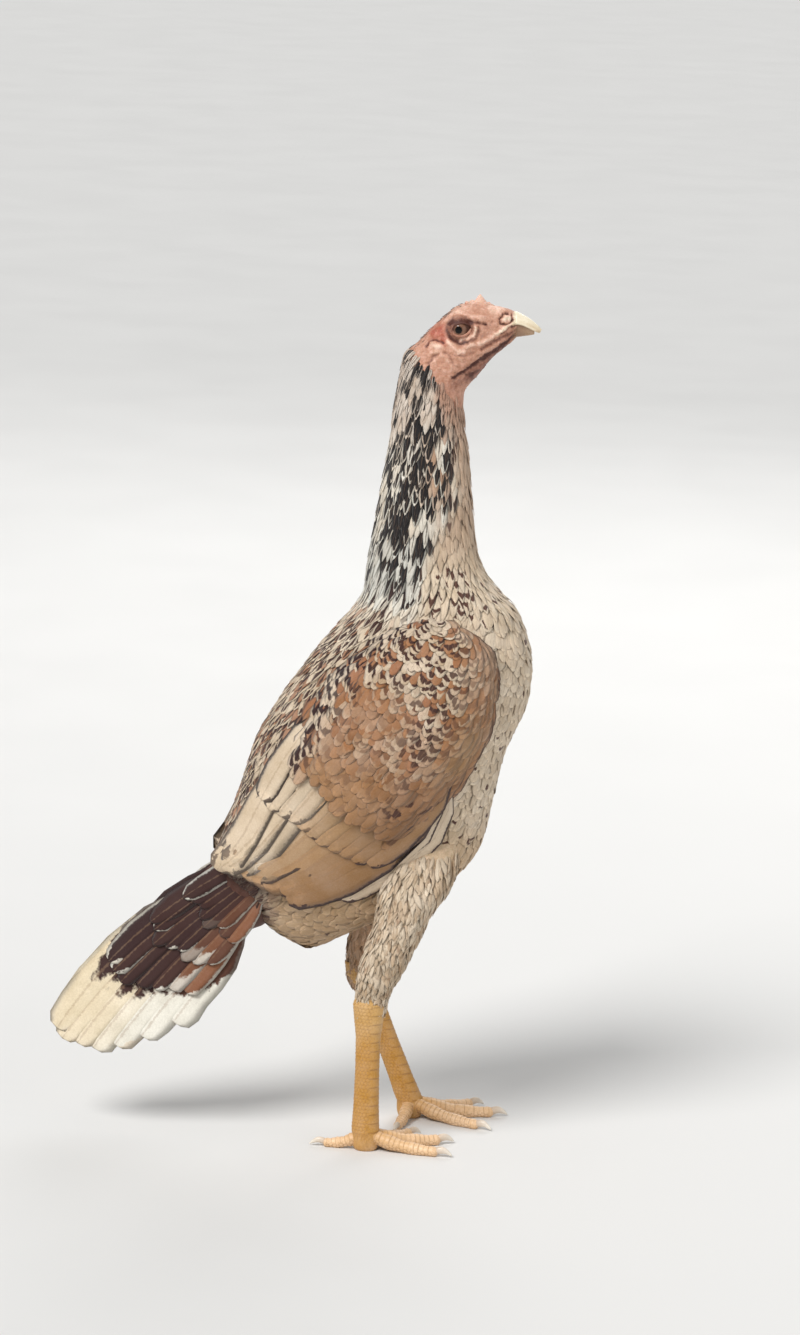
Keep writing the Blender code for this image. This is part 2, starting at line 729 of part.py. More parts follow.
def build_head():
    """Return the head with lids, ear lobes, lips and folds, and its eye sockets."""
    head = head_shell()
    forms = []
    for side in SIDES.values():
        forms += face_forms(side)
    head = combine(head, forms, "UNION")
    socket = EYE_RADIUS + GAP
    eyes = [ball("socket", eye_place(side), (socket,) * 3, 8, 12) for side in SIDES.values()]
    return combine(head, eyes, "DIFFERENCE")


def bill_base_gap(rows):
    """Stand a bill's first section off the head by the gap."""
    first = rows[0]
    head_back = Vector((HEAD[-1][0], HEAD[-1][1]))
    head_front = Vector((HEAD[-1][2], HEAD[-1][3]))
    ahead = Vector((head_back.y - head_front.y, head_front.x - head_back.x)).normalized() * GAP
    moved = (first[0] + ahead.x, first[1] + ahead.y, first[2] + ahead.x, first[3] + ahead.y, first[4])
    return (moved,) + rows[1:]


def build_upper_bill():
    """Return the hooked upper bill with its two nostrils."""
    rings = []
    for row in bill_base_gap(UPPER_BILL):
        crest, base, half_width = section_points(row)
        rings.append(arch_ring(crest, base, half_width, 13))
    bill = loft("beak_upper", rings)
    pits = []
    for side in SIDES.values():
        place = Vector((NOSTRIL.x, side * 0.0072, NOSTRIL.z))
        pits.append(ball("pit", place, NOSTRIL_SIZE, 6, 10))
    return combine(bill, pits, "DIFFERENCE")


def build_lower_bill():
    """Return the lower bill, flat where it meets the upper."""
    rings = []
    for row in bill_base_gap(LOWER_BILL):
        base, crest, half_width = section_points(row)
        rings.append(arch_ring(crest, base, half_width, 11))
    return loft("beak_lower", rings)


def build_comb(head):
    """Return the small pea comb: a crest of low bumps with one peak."""
    middle = Vector((0.0439, 0.0, 0.5618))
    base = ball("comb", middle, (0.0095, 0.0044, 0.0030), 6, 14)
    bumps = []
    for i in range(5):
        share = i / 4.0
        place = COMB_FRONT.lerp(COMB_BACK, share)
        tall = COMB_PEAK_HEIGHT if i == 2 else 0.0026 - 0.0002 * i
        bumps.append(ball(f"bump_{i}", place + Vector((0.0, 0.0, 0.0010)), (0.0021, 0.0017, tall), 4, 6))
        for side in SIDES.values() if i % 2 == 0 else ():
            beside = place + Vector((0.0008, side * 0.0034, -0.0002))
            bumps.append(ball(f"row_{i}_{side}", beside, (0.0019, 0.0015, 0.0020), 4, 5))
    comb = combine(base, bumps, "UNION")
    return cut_clear(comb, [head])


def build_wattle(side, head):
    """Return one small fold of skin that hangs at the jaw."""
    place = Vector((WATTLE.x, WATTLE.y * side, WATTLE.z))
    fold = ball("wattle", place, WATTLE_SIZE, 8, 12)
    return cut_clear(fold, [head])


def build_eye(side):
    """Return one eyeball."""
    return ball("eye", eye_place(side), (EYE_RADIUS,) * 3, 8, 12)


def wing_height(u):
    """Return how far the flesh and small coverts of the wing stand over its sheet."""
    return WING_SHOULDER * min(1.0, math.sqrt(max(u, 0.0) / 0.08)) - WING_SLOPE * max(u - 0.08, 0.0)


def build_wing(side, neighbours):
    """Return one folded wing: its shoulder, two tiers of coverts, secondaries and primaries."""
    sheet = WingSheet(side)
    draw = random.Random(WING_SEED + side)
    wing = sheet_core("wing", sheet, WING_CORE, wing_height, WING_DEPTH)
    for name, tier in WING_TIERS.items():
        wing = combine(wing, tier_vanes(sheet, name, tier, draw), "UNION", UNION_SOLVER)
    return cut_clear(wing, neighbours)


def tail_section(u, half_width, margin):
    """Return one section of the flesh that the tail's feathers grow from."""
    sheet = TailSheet(LEFT)
    top = sheet.point(u, 0.0)
    low = sheet.point(u, 1.0)
    top.y = 0.0
    low.y = 0.0
    beyond = (top - low).normalized() * margin
    return chord_ring(top + beyond, low - beyond, half_width, 16)


def build_tail(neighbours):
    """Return the tail: its flesh, the flight feathers of both sides and their coverts."""
    rings = [tail_section(*row) for row in TAIL_FLESH]
    tail = loft("tail", rings)
    for side in SIDES.values():
        sheet = TailSheet(side)
        draw = random.Random(TAIL_SEED + side)
        for name, tier in TAIL_TIERS.items():
            tail = combine(tail, tier_vanes(sheet, name, tier, draw), "UNION", UNION_SOLVER)
    return cut_clear(tail, neighbours)


def build_thigh(name, torso):
    """Return one feathered thigh, parted from the trunk."""
    rings = []
    for z, back, front, y, half_width in THIGHS[name]:
        rings.append(chord_ring(Vector((back, 0.0, z)), Vector((front, 0.0, z)), half_width, THIGH_SIDES, 2.0, y))
    thigh = loft("thigh", rings)
    return cut_clear(thigh, [torso])


def shank_radius(share):
    """Return the shank's half depth at a share of its length."""
    for near, far in zip(SHANK_DEPTHS, SHANK_DEPTHS[1:]):
        if share <= far[0]:
            return near[1] + (far[1] - near[1]) * (share - near[0]) / (far[0] - near[0])
    return SHANK_DEPTHS[-1][1]


def build_shank(name):
    """Return one shank with its row of broad scutes down the front."""
    hock, ankle = SHANK_ENDS[name]
    rings = []
    for i in range(SCUTES):
        for share, step in (((i + 0.02) / SCUTES, 0.0), ((i + 0.96) / SCUTES, SCUTE_STEP)):
            centre = hock.lerp(ankle, share)
            depth = shank_radius(share)
            ring = []
            for k in range(SHANK_SIDES):
                turn = math.tau * k / SHANK_SIDES
                ahead = max(math.cos(turn), 0.0)
                reach = depth + step * ahead
                ring.append(centre + Vector((math.cos(turn) * reach,
                                             math.sin(turn) * depth * SHANK_WIDTH_SHARE, 0.0)))
            rings.append(ring)
    sole = hock.lerp(ankle, 1.0)
    for drop, share in ((0.0080, 0.98), (ankle.z, 0.80)):
        rings.append([sole + Vector((math.cos(math.tau * k / SHANK_SIDES) * SHANK_DEPTHS[-1][1] * share,
                                     math.sin(math.tau * k / SHANK_SIDES) * SHANK_DEPTHS[-1][1] * 0.9 * share, -drop))
                      for k in range(SHANK_SIDES)])
    return loft("shank", rings)


def toe_path(name, toe):
    """Return the centre line of one toe, from inside the foot to where its claw starts."""
    ankle = SHANK_ENDS[name][1]
    start = Vector((ankle.x, ankle.y, TOE_START_Z))
    tip = TOE_TIPS[name][toe]
    base, end = TOE_RADII[toe]
    goal = Vector((tip[0], tip[1], end * 0.93))
    path = []
    for i in range(TOE_RINGS):
        share = i / (TOE_RINGS - 1)
        place = start.lerp(goal, share)
        place.z = end * 0.93 + (TOE_START_Z - end * 0.93) * (1.0 - share) ** 2.6
        path.append(place)
    return path


def build_toe(name, toe, neighbours):
    """Return one toe, flat where it bears on the floor."""
    base, end = TOE_RADII[toe]
    path = toe_path(name, toe)
    radii = []
    for i in range(TOE_RINGS):
        share = i / (TOE_RINGS - 1)
        pad = 1.0 + 0.06 * math.cos(share * math.tau * 3.0)
        radii.append((base + (end - base) * share) * pad)
    made = tube("toe", path, radii, TOE_SIDES, floor=0.0)
    return combine(made, [grown(neighbour) for neighbour in neighbours], "DIFFERENCE")


def build_claw(name, toe):
    """Return one claw, curved down from the toe's end to the floor."""
    path = toe_path(name, toe)
    ahead = (path[-1] - path[-2]).normalized()
    base = TOE_RADII[toe][1]
    places = []
    radii = []
    for share in (0.0, 0.08, 0.4, 0.72, 1.0):
        rise = CLAW_RISE * math.sin(math.pi * share) * share - CLAW_DROP * share ** 2
        places.append(path[-1] + ahead * (GAP * 1.2 + CLAW_LENGTH * share) + Vector((0.0, 0.0, rise)))
        radii.append(base * (0.78 - 0.66 * share))
    return tube("claw", places, radii, 7, floor=0.0004)


def centre_all():
    """Move every part so that the origin is under the middle of the bird's length."""
    for part in bpy.data.collections[COLLECTION].objects:
        part.data.transform(Matrix.Translation((CENTRE_X, 0.0, 0.0)))


def build_legs(torso):
    """Build both legs, each as thigh, shank, four toes and their claws."""
    thighs = []
    for name in SIDES:
        thigh = build_thigh(name, torso)
        thighs.append(thigh)
        shank = build_shank(name)
        toes = []
        for toe in ("middle", "inner", "outer", "hind"):
            made = build_toe(name, toe, [shank] + toes)
            toes.append(made)
            finish(build_claw(name, toe), f"claw_{toe}_{name}", "claw_horn")
        for toe, made in zip(("middle", "inner", "outer", "hind"), toes):
            finish(made, f"toe_{toe}_{name}", "leg_scale")
        finish(shank, f"shank_{name}", "leg_scale")
    return thighs


def main():
    """Build the whole bird."""
    clear_scene()
    bpy.context.scene.collection.children.link(bpy.data.collections.new(COLLECTION))
    torso = build_torso()
    neck = build_neck()
    head = build_head()
    thighs = build_legs(torso)
    for name, side in SIDES.items():
        wing = build_wing(side, [torso] + thighs)
        finish(wing, f"wing_{name}", "plumage_chestnut")
        finish(build_eye(side), f"eye_{name}", "eye_pearl")
        finish(build_wattle(side, head), f"wattle_{name}", "face_skin")
    tail = build_tail([torso])
    finish(build_comb(head), "comb", "comb_skin")
    finish(build_upper_bill(), "beak_upper", "bill_horn")
    finish(build_lower_bill(), "beak_lower", "bill_horn")
    for name, thigh in zip(SIDES, thighs):
        finish(thigh, f"thigh_{name}", "plumage_cream")
    finish(tail, "tail", "plumage_tail")
    finish(head, "head", "face_skin")
    finish(neck, "neck", "plumage_hackle")
    finish(torso, "torso", "plumage_cream")
    centre_all()


main()
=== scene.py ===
"""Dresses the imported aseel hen: one skin, its feathers in their tracts, bill, eyes and scaled legs.

All sizes are in metres. The tables measure the bird from the plumb line through its hips, and
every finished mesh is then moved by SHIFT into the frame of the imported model.
"""

import logging
import math
from dataclasses import dataclass, field
from enum import Enum
from functools import partial
from typing import Callable, Dict, List, Optional, Sequence, Tuple

import bmesh
import bpy
import numpy as np
from mathutils import Matrix, Vector, noise
from mathutils.bvhtree import BVHTree
from mathutils.kdtree import KDTree


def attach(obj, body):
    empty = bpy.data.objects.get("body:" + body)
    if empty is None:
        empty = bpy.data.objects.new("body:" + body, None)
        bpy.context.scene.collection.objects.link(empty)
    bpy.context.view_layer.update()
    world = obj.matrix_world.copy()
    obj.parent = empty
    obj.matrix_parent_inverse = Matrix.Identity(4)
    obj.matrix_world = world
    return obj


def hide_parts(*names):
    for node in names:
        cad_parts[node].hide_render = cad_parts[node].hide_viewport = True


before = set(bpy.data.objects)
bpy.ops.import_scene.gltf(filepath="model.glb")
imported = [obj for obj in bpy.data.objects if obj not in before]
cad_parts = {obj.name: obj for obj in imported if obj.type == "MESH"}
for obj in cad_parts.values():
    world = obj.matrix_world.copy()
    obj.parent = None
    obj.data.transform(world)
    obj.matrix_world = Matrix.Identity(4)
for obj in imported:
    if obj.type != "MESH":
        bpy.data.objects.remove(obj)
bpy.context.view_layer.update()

LOG = logging.getLogger("aseel")
SHIFT = 0.06807
BODY = "root"
Colour = Tuple[float, float, float]
Array = np.ndarray
Draw = np.random.Generator
Thing = bpy.types.Object


def tenths(*rows: Sequence[int]) -> Array:
    """Return in metres a table that is written in tenths of a millimetre."""
    return np.array(rows) / 10000.0


# Trunk and lower neck by level: height, back, front, half width.
LEVELS = tenths(
    (1315, -600, -470, 60), (1370, -720, -350, 150),
    (1450, -840, -200, 240), (1550, -930, 50, 300),
    (1650, -1030, 220, 340), (1770, -1130, 370, 380),
    (1900, -1175, 500, 420), (2060, -1130, 590, 470),
    (2330, -1046, 645, 560), (2500, -995, 680, 595),
    (2680, -943, 720, 620), (2850, -855, 790, 635),
    (3000, -765, 850, 635), (3150, -660, 872, 625),
    (3310, -550, 867, 600), (3450, -435, 830, 560),
    (3600, -315, 764, 490), (3720, -260, 648, 410),
    (3850, -248, 546, 340), (3990, -230, 485, 295),
    (4150, -205, 460, 270), (4320, -182, 440, 255),
    (4500, -155, 418, 240), (4680, -125, 402, 228),
)
# Upper neck and head by section, as far as the edge of the horn: back x, z, front x, z, half width.
SECTIONS = tenths(
    (-100, 4930, 380, 4800, 215), (-65, 5130, 365, 4935, 200),
    (-30, 5290, 362, 5055, 190), (50, 5372, 395, 5110, 182),
    (120, 5452, 430, 5150, 184), (200, 5530, 470, 5200, 182),
    (290, 5608, 505, 5250, 174), (380, 5632, 545, 5295, 155),
    (470, 5630, 585, 5330, 126), (555, 5616, 622, 5362, 101),
    (674, 5591, 682, 5410, 70),
)
# The neck above LEVELS by height, for how far forward a place is: height, back, front.
NECK_SPAN = tenths((4870, -100, 380), (5030, -65, 365), (5170, -30, 362), (5600, 280, 560))
# The bills by section, as in SECTIONS.
UPPER_BILL = tenths(
    (552, 5612, 594, 5462, 84), (640, 5600, 650, 5502, 71),
    (712, 5572, 705, 5504, 55), (772, 5538, 760, 5482, 40),
    (818, 5502, 806, 5460, 25), (845, 5474, 832, 5452, 9),
)
LOWER_BILL = tenths(
    (597, 5478, 612, 5365, 74), (655, 5510, 668, 5412, 60),
    (708, 5513, 718, 5425, 44), (757, 5492, 765, 5433, 28),
    (797, 5468, 798, 5441, 12),
)
# The thighs by level, for the right and the left side: height, back, front, y of the middle, half width.
THIGHS = {
    -1: tenths((960, -236, 5, -380, 80), (1080, -232, 30, -380, 112),
         (1200, -215, 85, -378, 135), (1340, -186, 150, -372, 160),
         (1480, -140, 215, -362, 185), (1620, -110, 275, -350, 205),
         (1800, -100, 395, -325, 205), (2000, -60, 450, -280, 180),
         (2200, 40, 430, -240, 130)),
    1: tenths((960, -300, -62, 385, 80), (1080, -306, -30, 385, 112),
        (1200, -300, 20, 382, 135), (1340, -278, 90, 375, 160),
        (1480, -235, 165, 364, 185), (1620, -190, 250, 352, 205),
        (1800, -140, 380, 325, 205), (2000, -80, 450, 280, 180),
        (2200, 40, 430, 240, 130)),
}
# The folded wing's outline from the shoulder to its tip, as x, z.
WING_LOWER_EDGE = tenths(
    (270, 3620), (600, 3400), (600, 2930), (430, 2560), (137, 2184),
    (-210, 1890), (-598, 1700), (-900, 1700), (-1160, 1790),
)
WING_UPPER_EDGE = tenths(
    (200, 3630), (-135, 3500), (-450, 3220), (-700, 2820), (-870, 2480),
    (-1000, 2140), (-1160, 1850),
)
HOCK_Z = 0.0997
# Hock and ankle of each side.
SHANKS = {
    -1: ((-0.0122, -0.0380, HOCK_Z), (-0.0120, -0.0380, 0.0120)),
    1: ((-0.0182, 0.0385, HOCK_Z), (0.0172, 0.0395, 0.0120)),
}
SIDE_NAMES = {-1: "right", 1: "left"}


class Digit(Enum):
    """The four toes, with the radii at the root and at the end of each."""

    MIDDLE = ("middle", 0.0056, 0.0036)
    INNER = ("inner", 0.0051, 0.0034)
    OUTER = ("outer", 0.0051, 0.0034)
    HIND = ("hind", 0.0046, 0.0030)


TOE_TIPS = {
    -1: {Digit.MIDDLE: (0.0380, -0.0222), Digit.INNER: (0.0180, -0.0085),
         Digit.OUTER: (0.0365, -0.0495), Digit.HIND: (-0.0400, -0.0350)},
    1: {Digit.MIDDLE: (0.0745, 0.0450), Digit.INNER: (0.0640, 0.0145),
        Digit.OUTER: (0.0600, 0.0650), Digit.HIND: (0.0090, 0.0060)},
}


def put(table: Sequence[Sequence[float]], place: Array) -> Array:
    """Read a table smoothly between its rows.

    Args:
        table: Rows of numbers.
        place: Row positions, which may be fractions.

    Returns:
        One interpolated row for each place.
    """
    rows = np.asarray(table, float)
    place = np.clip(np.asarray(place, float), 0.0, len(rows) - 1.0)
    start = np.minimum(place.astype(int), len(rows) - 2)
    share = (place - start)[..., None]
    last = len(rows) - 1
    a, b, c, d = (rows[np.clip(start + step, 0, last)] for step in (-1, 0, 1, 2))
    return 0.5 * (2.0 * b + (c - a) * share + (2.0 * a - 5.0 * b + 4.0 * c - d) * share ** 2
        + (3.0 * b - a - 3.0 * c + d) * share ** 3)


def ease(value: Array, low: float, high: float) -> Array:
    """Return 0 below low, 1 above high and a smooth rise between them."""
    share = np.clip((np.asarray(value, float) - low) / (high - low), 0.0, 1.0)
    return share * share * (3.0 - 2.0 * share)


def fall(value: Array, low: float, high: float) -> Array:
    """Return 1 below low, 0 above high and a smooth fall between them."""
    return 1.0 - ease(value, low, high)


def unit(vectors: Array) -> Array:
    """Return the vectors at length one."""
    return vectors / np.maximum(np.linalg.norm(vectors, axis=-1, keepdims=True), 1e-12)


def mix(first: Array, second: Array, share: Array) -> Array:
    """Blend two sets of colours, or any rows, by a share for each row."""
    share = np.asarray(share, float)[..., None]
    return np.asarray(first, float) * (1.0 - share) + np.asarray(second, float) * share


def xyz(x: object, y: object, z: object) -> Array:
    """Return places from their three measures, any of which may be a single number."""
    return np.stack(np.broadcast_arrays(x, y, z), -1).astype(float)


def new_mesh(name: str, points: Array, faces: Array) -> Thing:
    """Make an object of points and faces, turned right side out.

    Args:
        name: The object's name.
        points: One row of x, y, z for each point.
        faces: Rows of three or four point numbers, with -1 in the fourth place of a triangle.

    Returns:
        The object, in the scene.
    """
    rows = np.asarray(faces, int)
    if signed_volume(points, rows) < 0.0:
        rows = np.where((rows[:, 3:] >= 0), rows[:, ::-1], rows[:, [2, 1, 0, 3]])
    mesh = bpy.data.meshes.new(name)
    mesh.from_pydata(points.tolist(), [], [row[:3] if row[3] < 0 else row for row in rows.tolist()])
    mesh.shade_smooth()
    made = bpy.data.objects.new(name, mesh)
    bpy.context.scene.collection.objects.link(made)
    return made


def signed_volume(points: Array, faces: Array) -> float:
    """Return the volume within faces, which is negative where they are inside out.

    Args:
        points: The points.
        faces: Their faces.

    Returns:
        The volume.
    """
    a, b, c = (points[faces[:, k]] for k in range(3))
    total = np.einsum("ij,ij->i", a, np.cross(b, c)).sum()
    quads = faces[faces[:, 3] >= 0]
    a, c, d = (points[quads[:, k]] for k in (0, 2, 3))
    return float(total + np.einsum("ij,ij->i", a, np.cross(c, d)).sum())


def tube_faces(rings: int, sides: int) -> Array:
    """Return the faces of a closed tube with a middle point at each end.

    Args:
        rings: How many rings it has.
        sides: How many points a ring has.

    Returns:
        Rows of point numbers, the two middle points last.
    """
    near = np.arange(rings - 1)[:, None] * sides + np.arange(sides)
    after = np.arange(rings - 1)[:, None] * sides + (np.arange(sides) + 1) % sides
    wall = np.stack([near, after, after + sides, near + sides], -1).reshape(-1, 4)
    first = np.arange(sides)
    onward = (first + 1) % sides
    start = rings * sides
    last = (rings - 1) * sides
    none = np.full(sides, -1)
    caps = [np.stack([onward, first, np.full(sides, start), none], -1),
        np.stack([last + first, last + onward, np.full(sides, start + 1), none], -1)]
    return np.concatenate([wall] + caps)


def skinned(name: str, grid: Array) -> Thing:
    """Skin rings of points into one closed object.

    Args:
        name: The object's name.
        grid: Points by ring and side.

    Returns:
        The object.
    """
    rings, sides = grid.shape[:2]
    points = np.concatenate([grid.reshape(-1, 3), grid[0].mean(0)[None], grid[-1].mean(0)[None]])
    return new_mesh(name, points, tube_faces(rings, sides))


def round_turn(sides: int) -> Array:
    """Return evenly spaced angles once round."""
    return math.tau * np.arange(sides) / float(sides)


def ringed(line: Array, first: Array, second: Array, turn: Array, reach: Array) -> Array:
    """Return rings of points round a line.

    Args:
        line: The middle of each ring.
        first: The direction of angle 0 at each ring.
        second: The direction of a quarter turn at each ring.
        turn: The angles round a ring.
        reach: How far out each point is, by ring and angle.

    Returns:
        Points by ring and angle.
    """
    round_it = (first[:, None] * np.cos(turn)[None, :, None] + second[:, None] * np.sin(turn)[None, :, None])
    return line[:, None] + round_it * reach[..., None]


def paint(thing: Thing, name: str, values: Array) -> None:
    """Store a colour, three numbers or four, on each point of a mesh.

    Args:
        thing: The piece.
        name: The layer's name.
        values: One number, three or four for each point.
    """
    values = np.asarray(values, float)
    if values.ndim == 1:
        values = np.repeat(values[:, None], 3, 1)
    if values.shape[1] == 3:
        values = np.concatenate([values, np.ones((len(values), 1))], 1)
    layer = thing.data.attributes.new(name, "FLOAT_COLOR", "POINT")
    layer.data.foreach_set("color", values.astype(np.float32).ravel())


def in_colours(thing: Thing, ground: Array) -> Thing:
    """Paint a piece with its own colours as bare skin or horn, and return it.

    Args:
        thing: The piece.
        ground: One colour for each point.

    Returns:
        The piece.
    """
    paint(thing, "ground", ground)
    paint(thing, "bare", np.ones(len(ground)))
    return thing


def in_one_colour(thing: Thing, tint: Colour) -> Thing:
    """Paint flesh that lies under feathers in one colour, and return it.

    Args:
        thing: The flesh.
        tint: Its colour.

    Returns:
        The flesh.
    """
    paint(thing, "ground", plain(tint, len(thing.data.vertices)))
    paint(thing, "bare", np.zeros(len(thing.data.vertices)))
    return thing


def map_points(thing: Thing, name: str, uv: Array) -> None:
    """Give a mesh a UV map from one place for each point.

    Args:
        thing: The piece.
        name: The map's name.
        uv: One place for each point.
    """
    layer = thing.data.uv_layers.new(name=name)
    corners = np.zeros(len(thing.data.loops), int)
    thing.data.loops.foreach_get("vertex_index", corners)
    layer.data.foreach_set("uv", uv[corners].astype(np.float32).ravel())


def apply_steps(thing: Thing) -> Thing:
    """Apply every modifier of an object.

    Args:
        thing: The object.

    Returns:
        The same object.
    """
    bpy.ops.object.select_all(action="DESELECT")
    thing.select_set(True)
    bpy.context.view_layer.objects.active = thing
    for step in list(thing.modifiers):
        bpy.ops.object.modifier_apply(modifier=step.name)
    return thing


def united(target: Thing, others: Sequence[Thing], solver: str = "MANIFOLD") -> Thing:
    """Join closed objects to the target with Boolean unions, and keep every part's colours.

    Args:
        target: The object that stays.
        others: The objects that are used up.
        solver: Blender's solver.

    Returns:
        The target.
    """
    parts = [target, *others]
    places = np.concatenate([coordinates(part) for part in parts])
    layers = {name: np.concatenate([painted(part, name) for part in parts]) for name in ("ground", "bare")}
    for other in others:
        step = target.modifiers.new("join", "BOOLEAN")
        step.operation = "UNION"
        step.solver = solver
        step.object = other
        apply_steps(target)
        bpy.data.objects.remove(other, do_unlink=True)
    tree = KDTree(len(places))
    for number, place in enumerate(places):
        tree.insert(place, number)
    tree.balance()
    nearest = np.array([tree.find(place)[1] for place in coordinates(target)])
    for name, values in layers.items():
        target.data.attributes.remove(target.data.attributes[name])
        paint(target, name, values[nearest])
    return target


def painted(thing: Thing, name: str) -> Array:
    """Return a painted layer's four numbers on each point.

    Args:
        thing: The piece.
        name: The layer's name.

    Returns:
        One row of four for each point.
    """
    flat = np.zeros(len(thing.data.vertices) * 4)
    thing.data.attributes[name].data.foreach_get("color", flat)
    return flat.reshape(-1, 4)


def coordinates(thing: Thing) -> Array:
    """Return the points of a mesh.

    Args:
        thing: The piece.

    Returns:
        One row of x, y, z for each point.
    """
    flat = np.zeros(len(thing.data.vertices) * 3)
    thing.data.vertices.foreach_get("co", flat)
    return flat.reshape(-1, 3)


def hand_over(thing: Thing, material: bpy.types.Material, slot: str, *nodes: str) -> None:
    """Move a finished piece into the model's frame, dress it and hang it on the body.

    Args:
        thing: The piece, at the origin, unturned and unscaled.
        material: Its material.
        slot: The record's material slot; not used.
        nodes: The solids that it stands for.
    """
    thing.data.transform(Matrix.Translation((SHIFT, 0.0, 0.0)))
    thing.data.materials.clear()
    thing.data.materials.append(material)
    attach(thing, BODY)
    if nodes:
        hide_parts(*nodes)
    thing.data.calc_loop_triangles()
    LOG.info("%s: %d triangles, in place of %s", thing.name, len(thing.data.loop_triangles),
        nodes or "nothing")


class Tint:
    """The bird's named colours."""

    CREAM: Colour = (0.60, 0.440, 0.285)
    PALE: Colour = (0.73, 0.605, 0.455)
    WHITE: Colour = (0.80, 0.76, 0.66)
    GREY: Colour = (0.50, 0.50, 0.46)
    TAN: Colour = (0.40, 0.188, 0.088)
    GOLD: Colour = (0.42, 0.245, 0.118)
    UMBER: Colour = (0.21, 0.098, 0.045)
    CHESTNUT: Colour = (0.36, 0.145, 0.065)
    BROWN: Colour = (0.085, 0.032, 0.020)
    MAROON: Colour = (0.030, 0.0085, 0.0085)
    BLACK: Colour = (0.0065, 0.0055, 0.0070)
    BUFF: Colour = (0.47, 0.310, 0.175)
    FACE: Colour = (0.54, 0.275, 0.185)
    RED: Colour = (0.46, 0.125, 0.078)
    # Also the painted highlight of the face, and at the comb's top partly painted highlight.
    PINK: Colour = (0.84, 0.560, 0.430)
    # The darkest face tint: painted shade in the face's grooves, under the brow and jaw and at the wattles'
    # foot, with the throat's own dark skin.
    SHADE_AND_GULAR: Colour = (0.085, 0.026, 0.018)
    NECK: Colour = (0.54, 0.385, 0.275)
    THROAT: Colour = (0.48, 0.262, 0.182)
    PANEL: Colour = (0.67, 0.53, 0.375)
    TAIL_TIP: Colour = (0.75, 0.63, 0.44)
    HORN: Colour = (0.86, 0.76, 0.57)
    HORN_FOOT: Colour = (0.60, 0.45, 0.27)
    # Painted highlight along the upper bill's cutting edge.
    HORN_EDGE: Colour = (0.90, 0.80, 0.61)
    # The lower bill's brown, darkened as painted shade under the upper bill.
    LOWER_HORN_AND_SHADE: Colour = (0.30, 0.165, 0.095)
    LOWER_TIP: Colour = (0.44, 0.28, 0.165)
    IRIS: Colour = (0.17, 0.082, 0.052)
    IRIS_RIM: Colour = (0.060, 0.026, 0.018)
    # A lighter ring in the iris, stronger below as painted light where the brow shades the top.
    IRIS_RING: Colour = (0.30, 0.165, 0.105)
    PUPIL: Colour = (0.004, 0.003, 0.003)
    EYE_CORNER: Colour = (0.10, 0.05, 0.04)
    LID: Colour = (0.110, 0.040, 0.028)
    LOWER_LID: Colour = (0.40, 0.185, 0.125)
    SCALE: Colour = (0.60, 0.355, 0.125)
    SHANK: Colour = (0.52, 0.270, 0.070)
    TOE: Colour = (0.78, 0.520, 0.300)
    GROOVE: Colour = (0.30, 0.135, 0.040)
    CLAW: Colour = (0.60, 0.46, 0.34)
    CLAW_TIP: Colour = (0.78, 0.72, 0.62)


TIP_START = 0.86


@dataclass
class Marks:
    """What each feather of a batch is coloured with: one row for each feather."""

    ground: Array
    mark: Array
    tip: Array
    pattern: Array

    def chosen(self, keep: Array) -> "Marks":
        """Return the marks of some of the feathers."""
        return Marks(self.ground[keep], self.mark[keep], self.tip[keep], self.pattern[keep])


Colouring = Callable[[Array, Array, Draw], Marks]
Placing = Callable[[Array, Array], Array]


def plain(tint: Colour, count: int) -> Array:
    """Return one colour for each of a number of points."""
    return np.tile(np.array(tint), (count, 1))


def layered(base: Array, *coats: Tuple[Colour, Array]) -> Array:
    """Lay tints over a base colour, each by its share at each point.

    Args:
        base: One colour, or one for each point.
        coats: Each tint and its share.

    Returns:
        One colour for each point.
    """
    for tint, share in coats:
        base = mix(base, tint, share)
    return base


def lump(place: Array, size: float, shift: float = 0.0) -> Array:
    """Return slow noise over places as evenly spread values from 0 to 1, in lumps of this size."""
    slow = np.array([noise.noise(Vector(row) / size + Vector((shift, shift, shift))) for row in place])
    return 1.0 / (1.0 + np.exp(-7.0 * slow))


def zone(first: Array, second: Array, centre: Tuple[float, float], reach: Tuple[float, float]) -> Array:
    """Return 1 at a centre in two measures and a smooth fall to 0 around it."""
    return np.exp(-((first - centre[0]) / reach[0]) ** 2 - ((second - centre[1]) / reach[1]) ** 2)


def with_start(rows: Array, start: object = TIP_START) -> Array:
    """Add to tip colours where along the feather each tip starts."""
    return np.concatenate([rows, np.broadcast_to(np.asarray(start, float), (len(rows),))[:, None]], 1)


# Where the breast and the neck's base are flecked: how much, and middle and reach as height, front.
FLECKED_ZONES = (
    (0.50, (0.350, 0.62), (0.016, 0.13)), (0.30, (0.405, 0.80), (0.014, 0.18)),
    (0.30, (0.290, 0.62), (0.060, 0.07)), (0.26, (0.215, 0.72), (0.030, 0.14)),
)


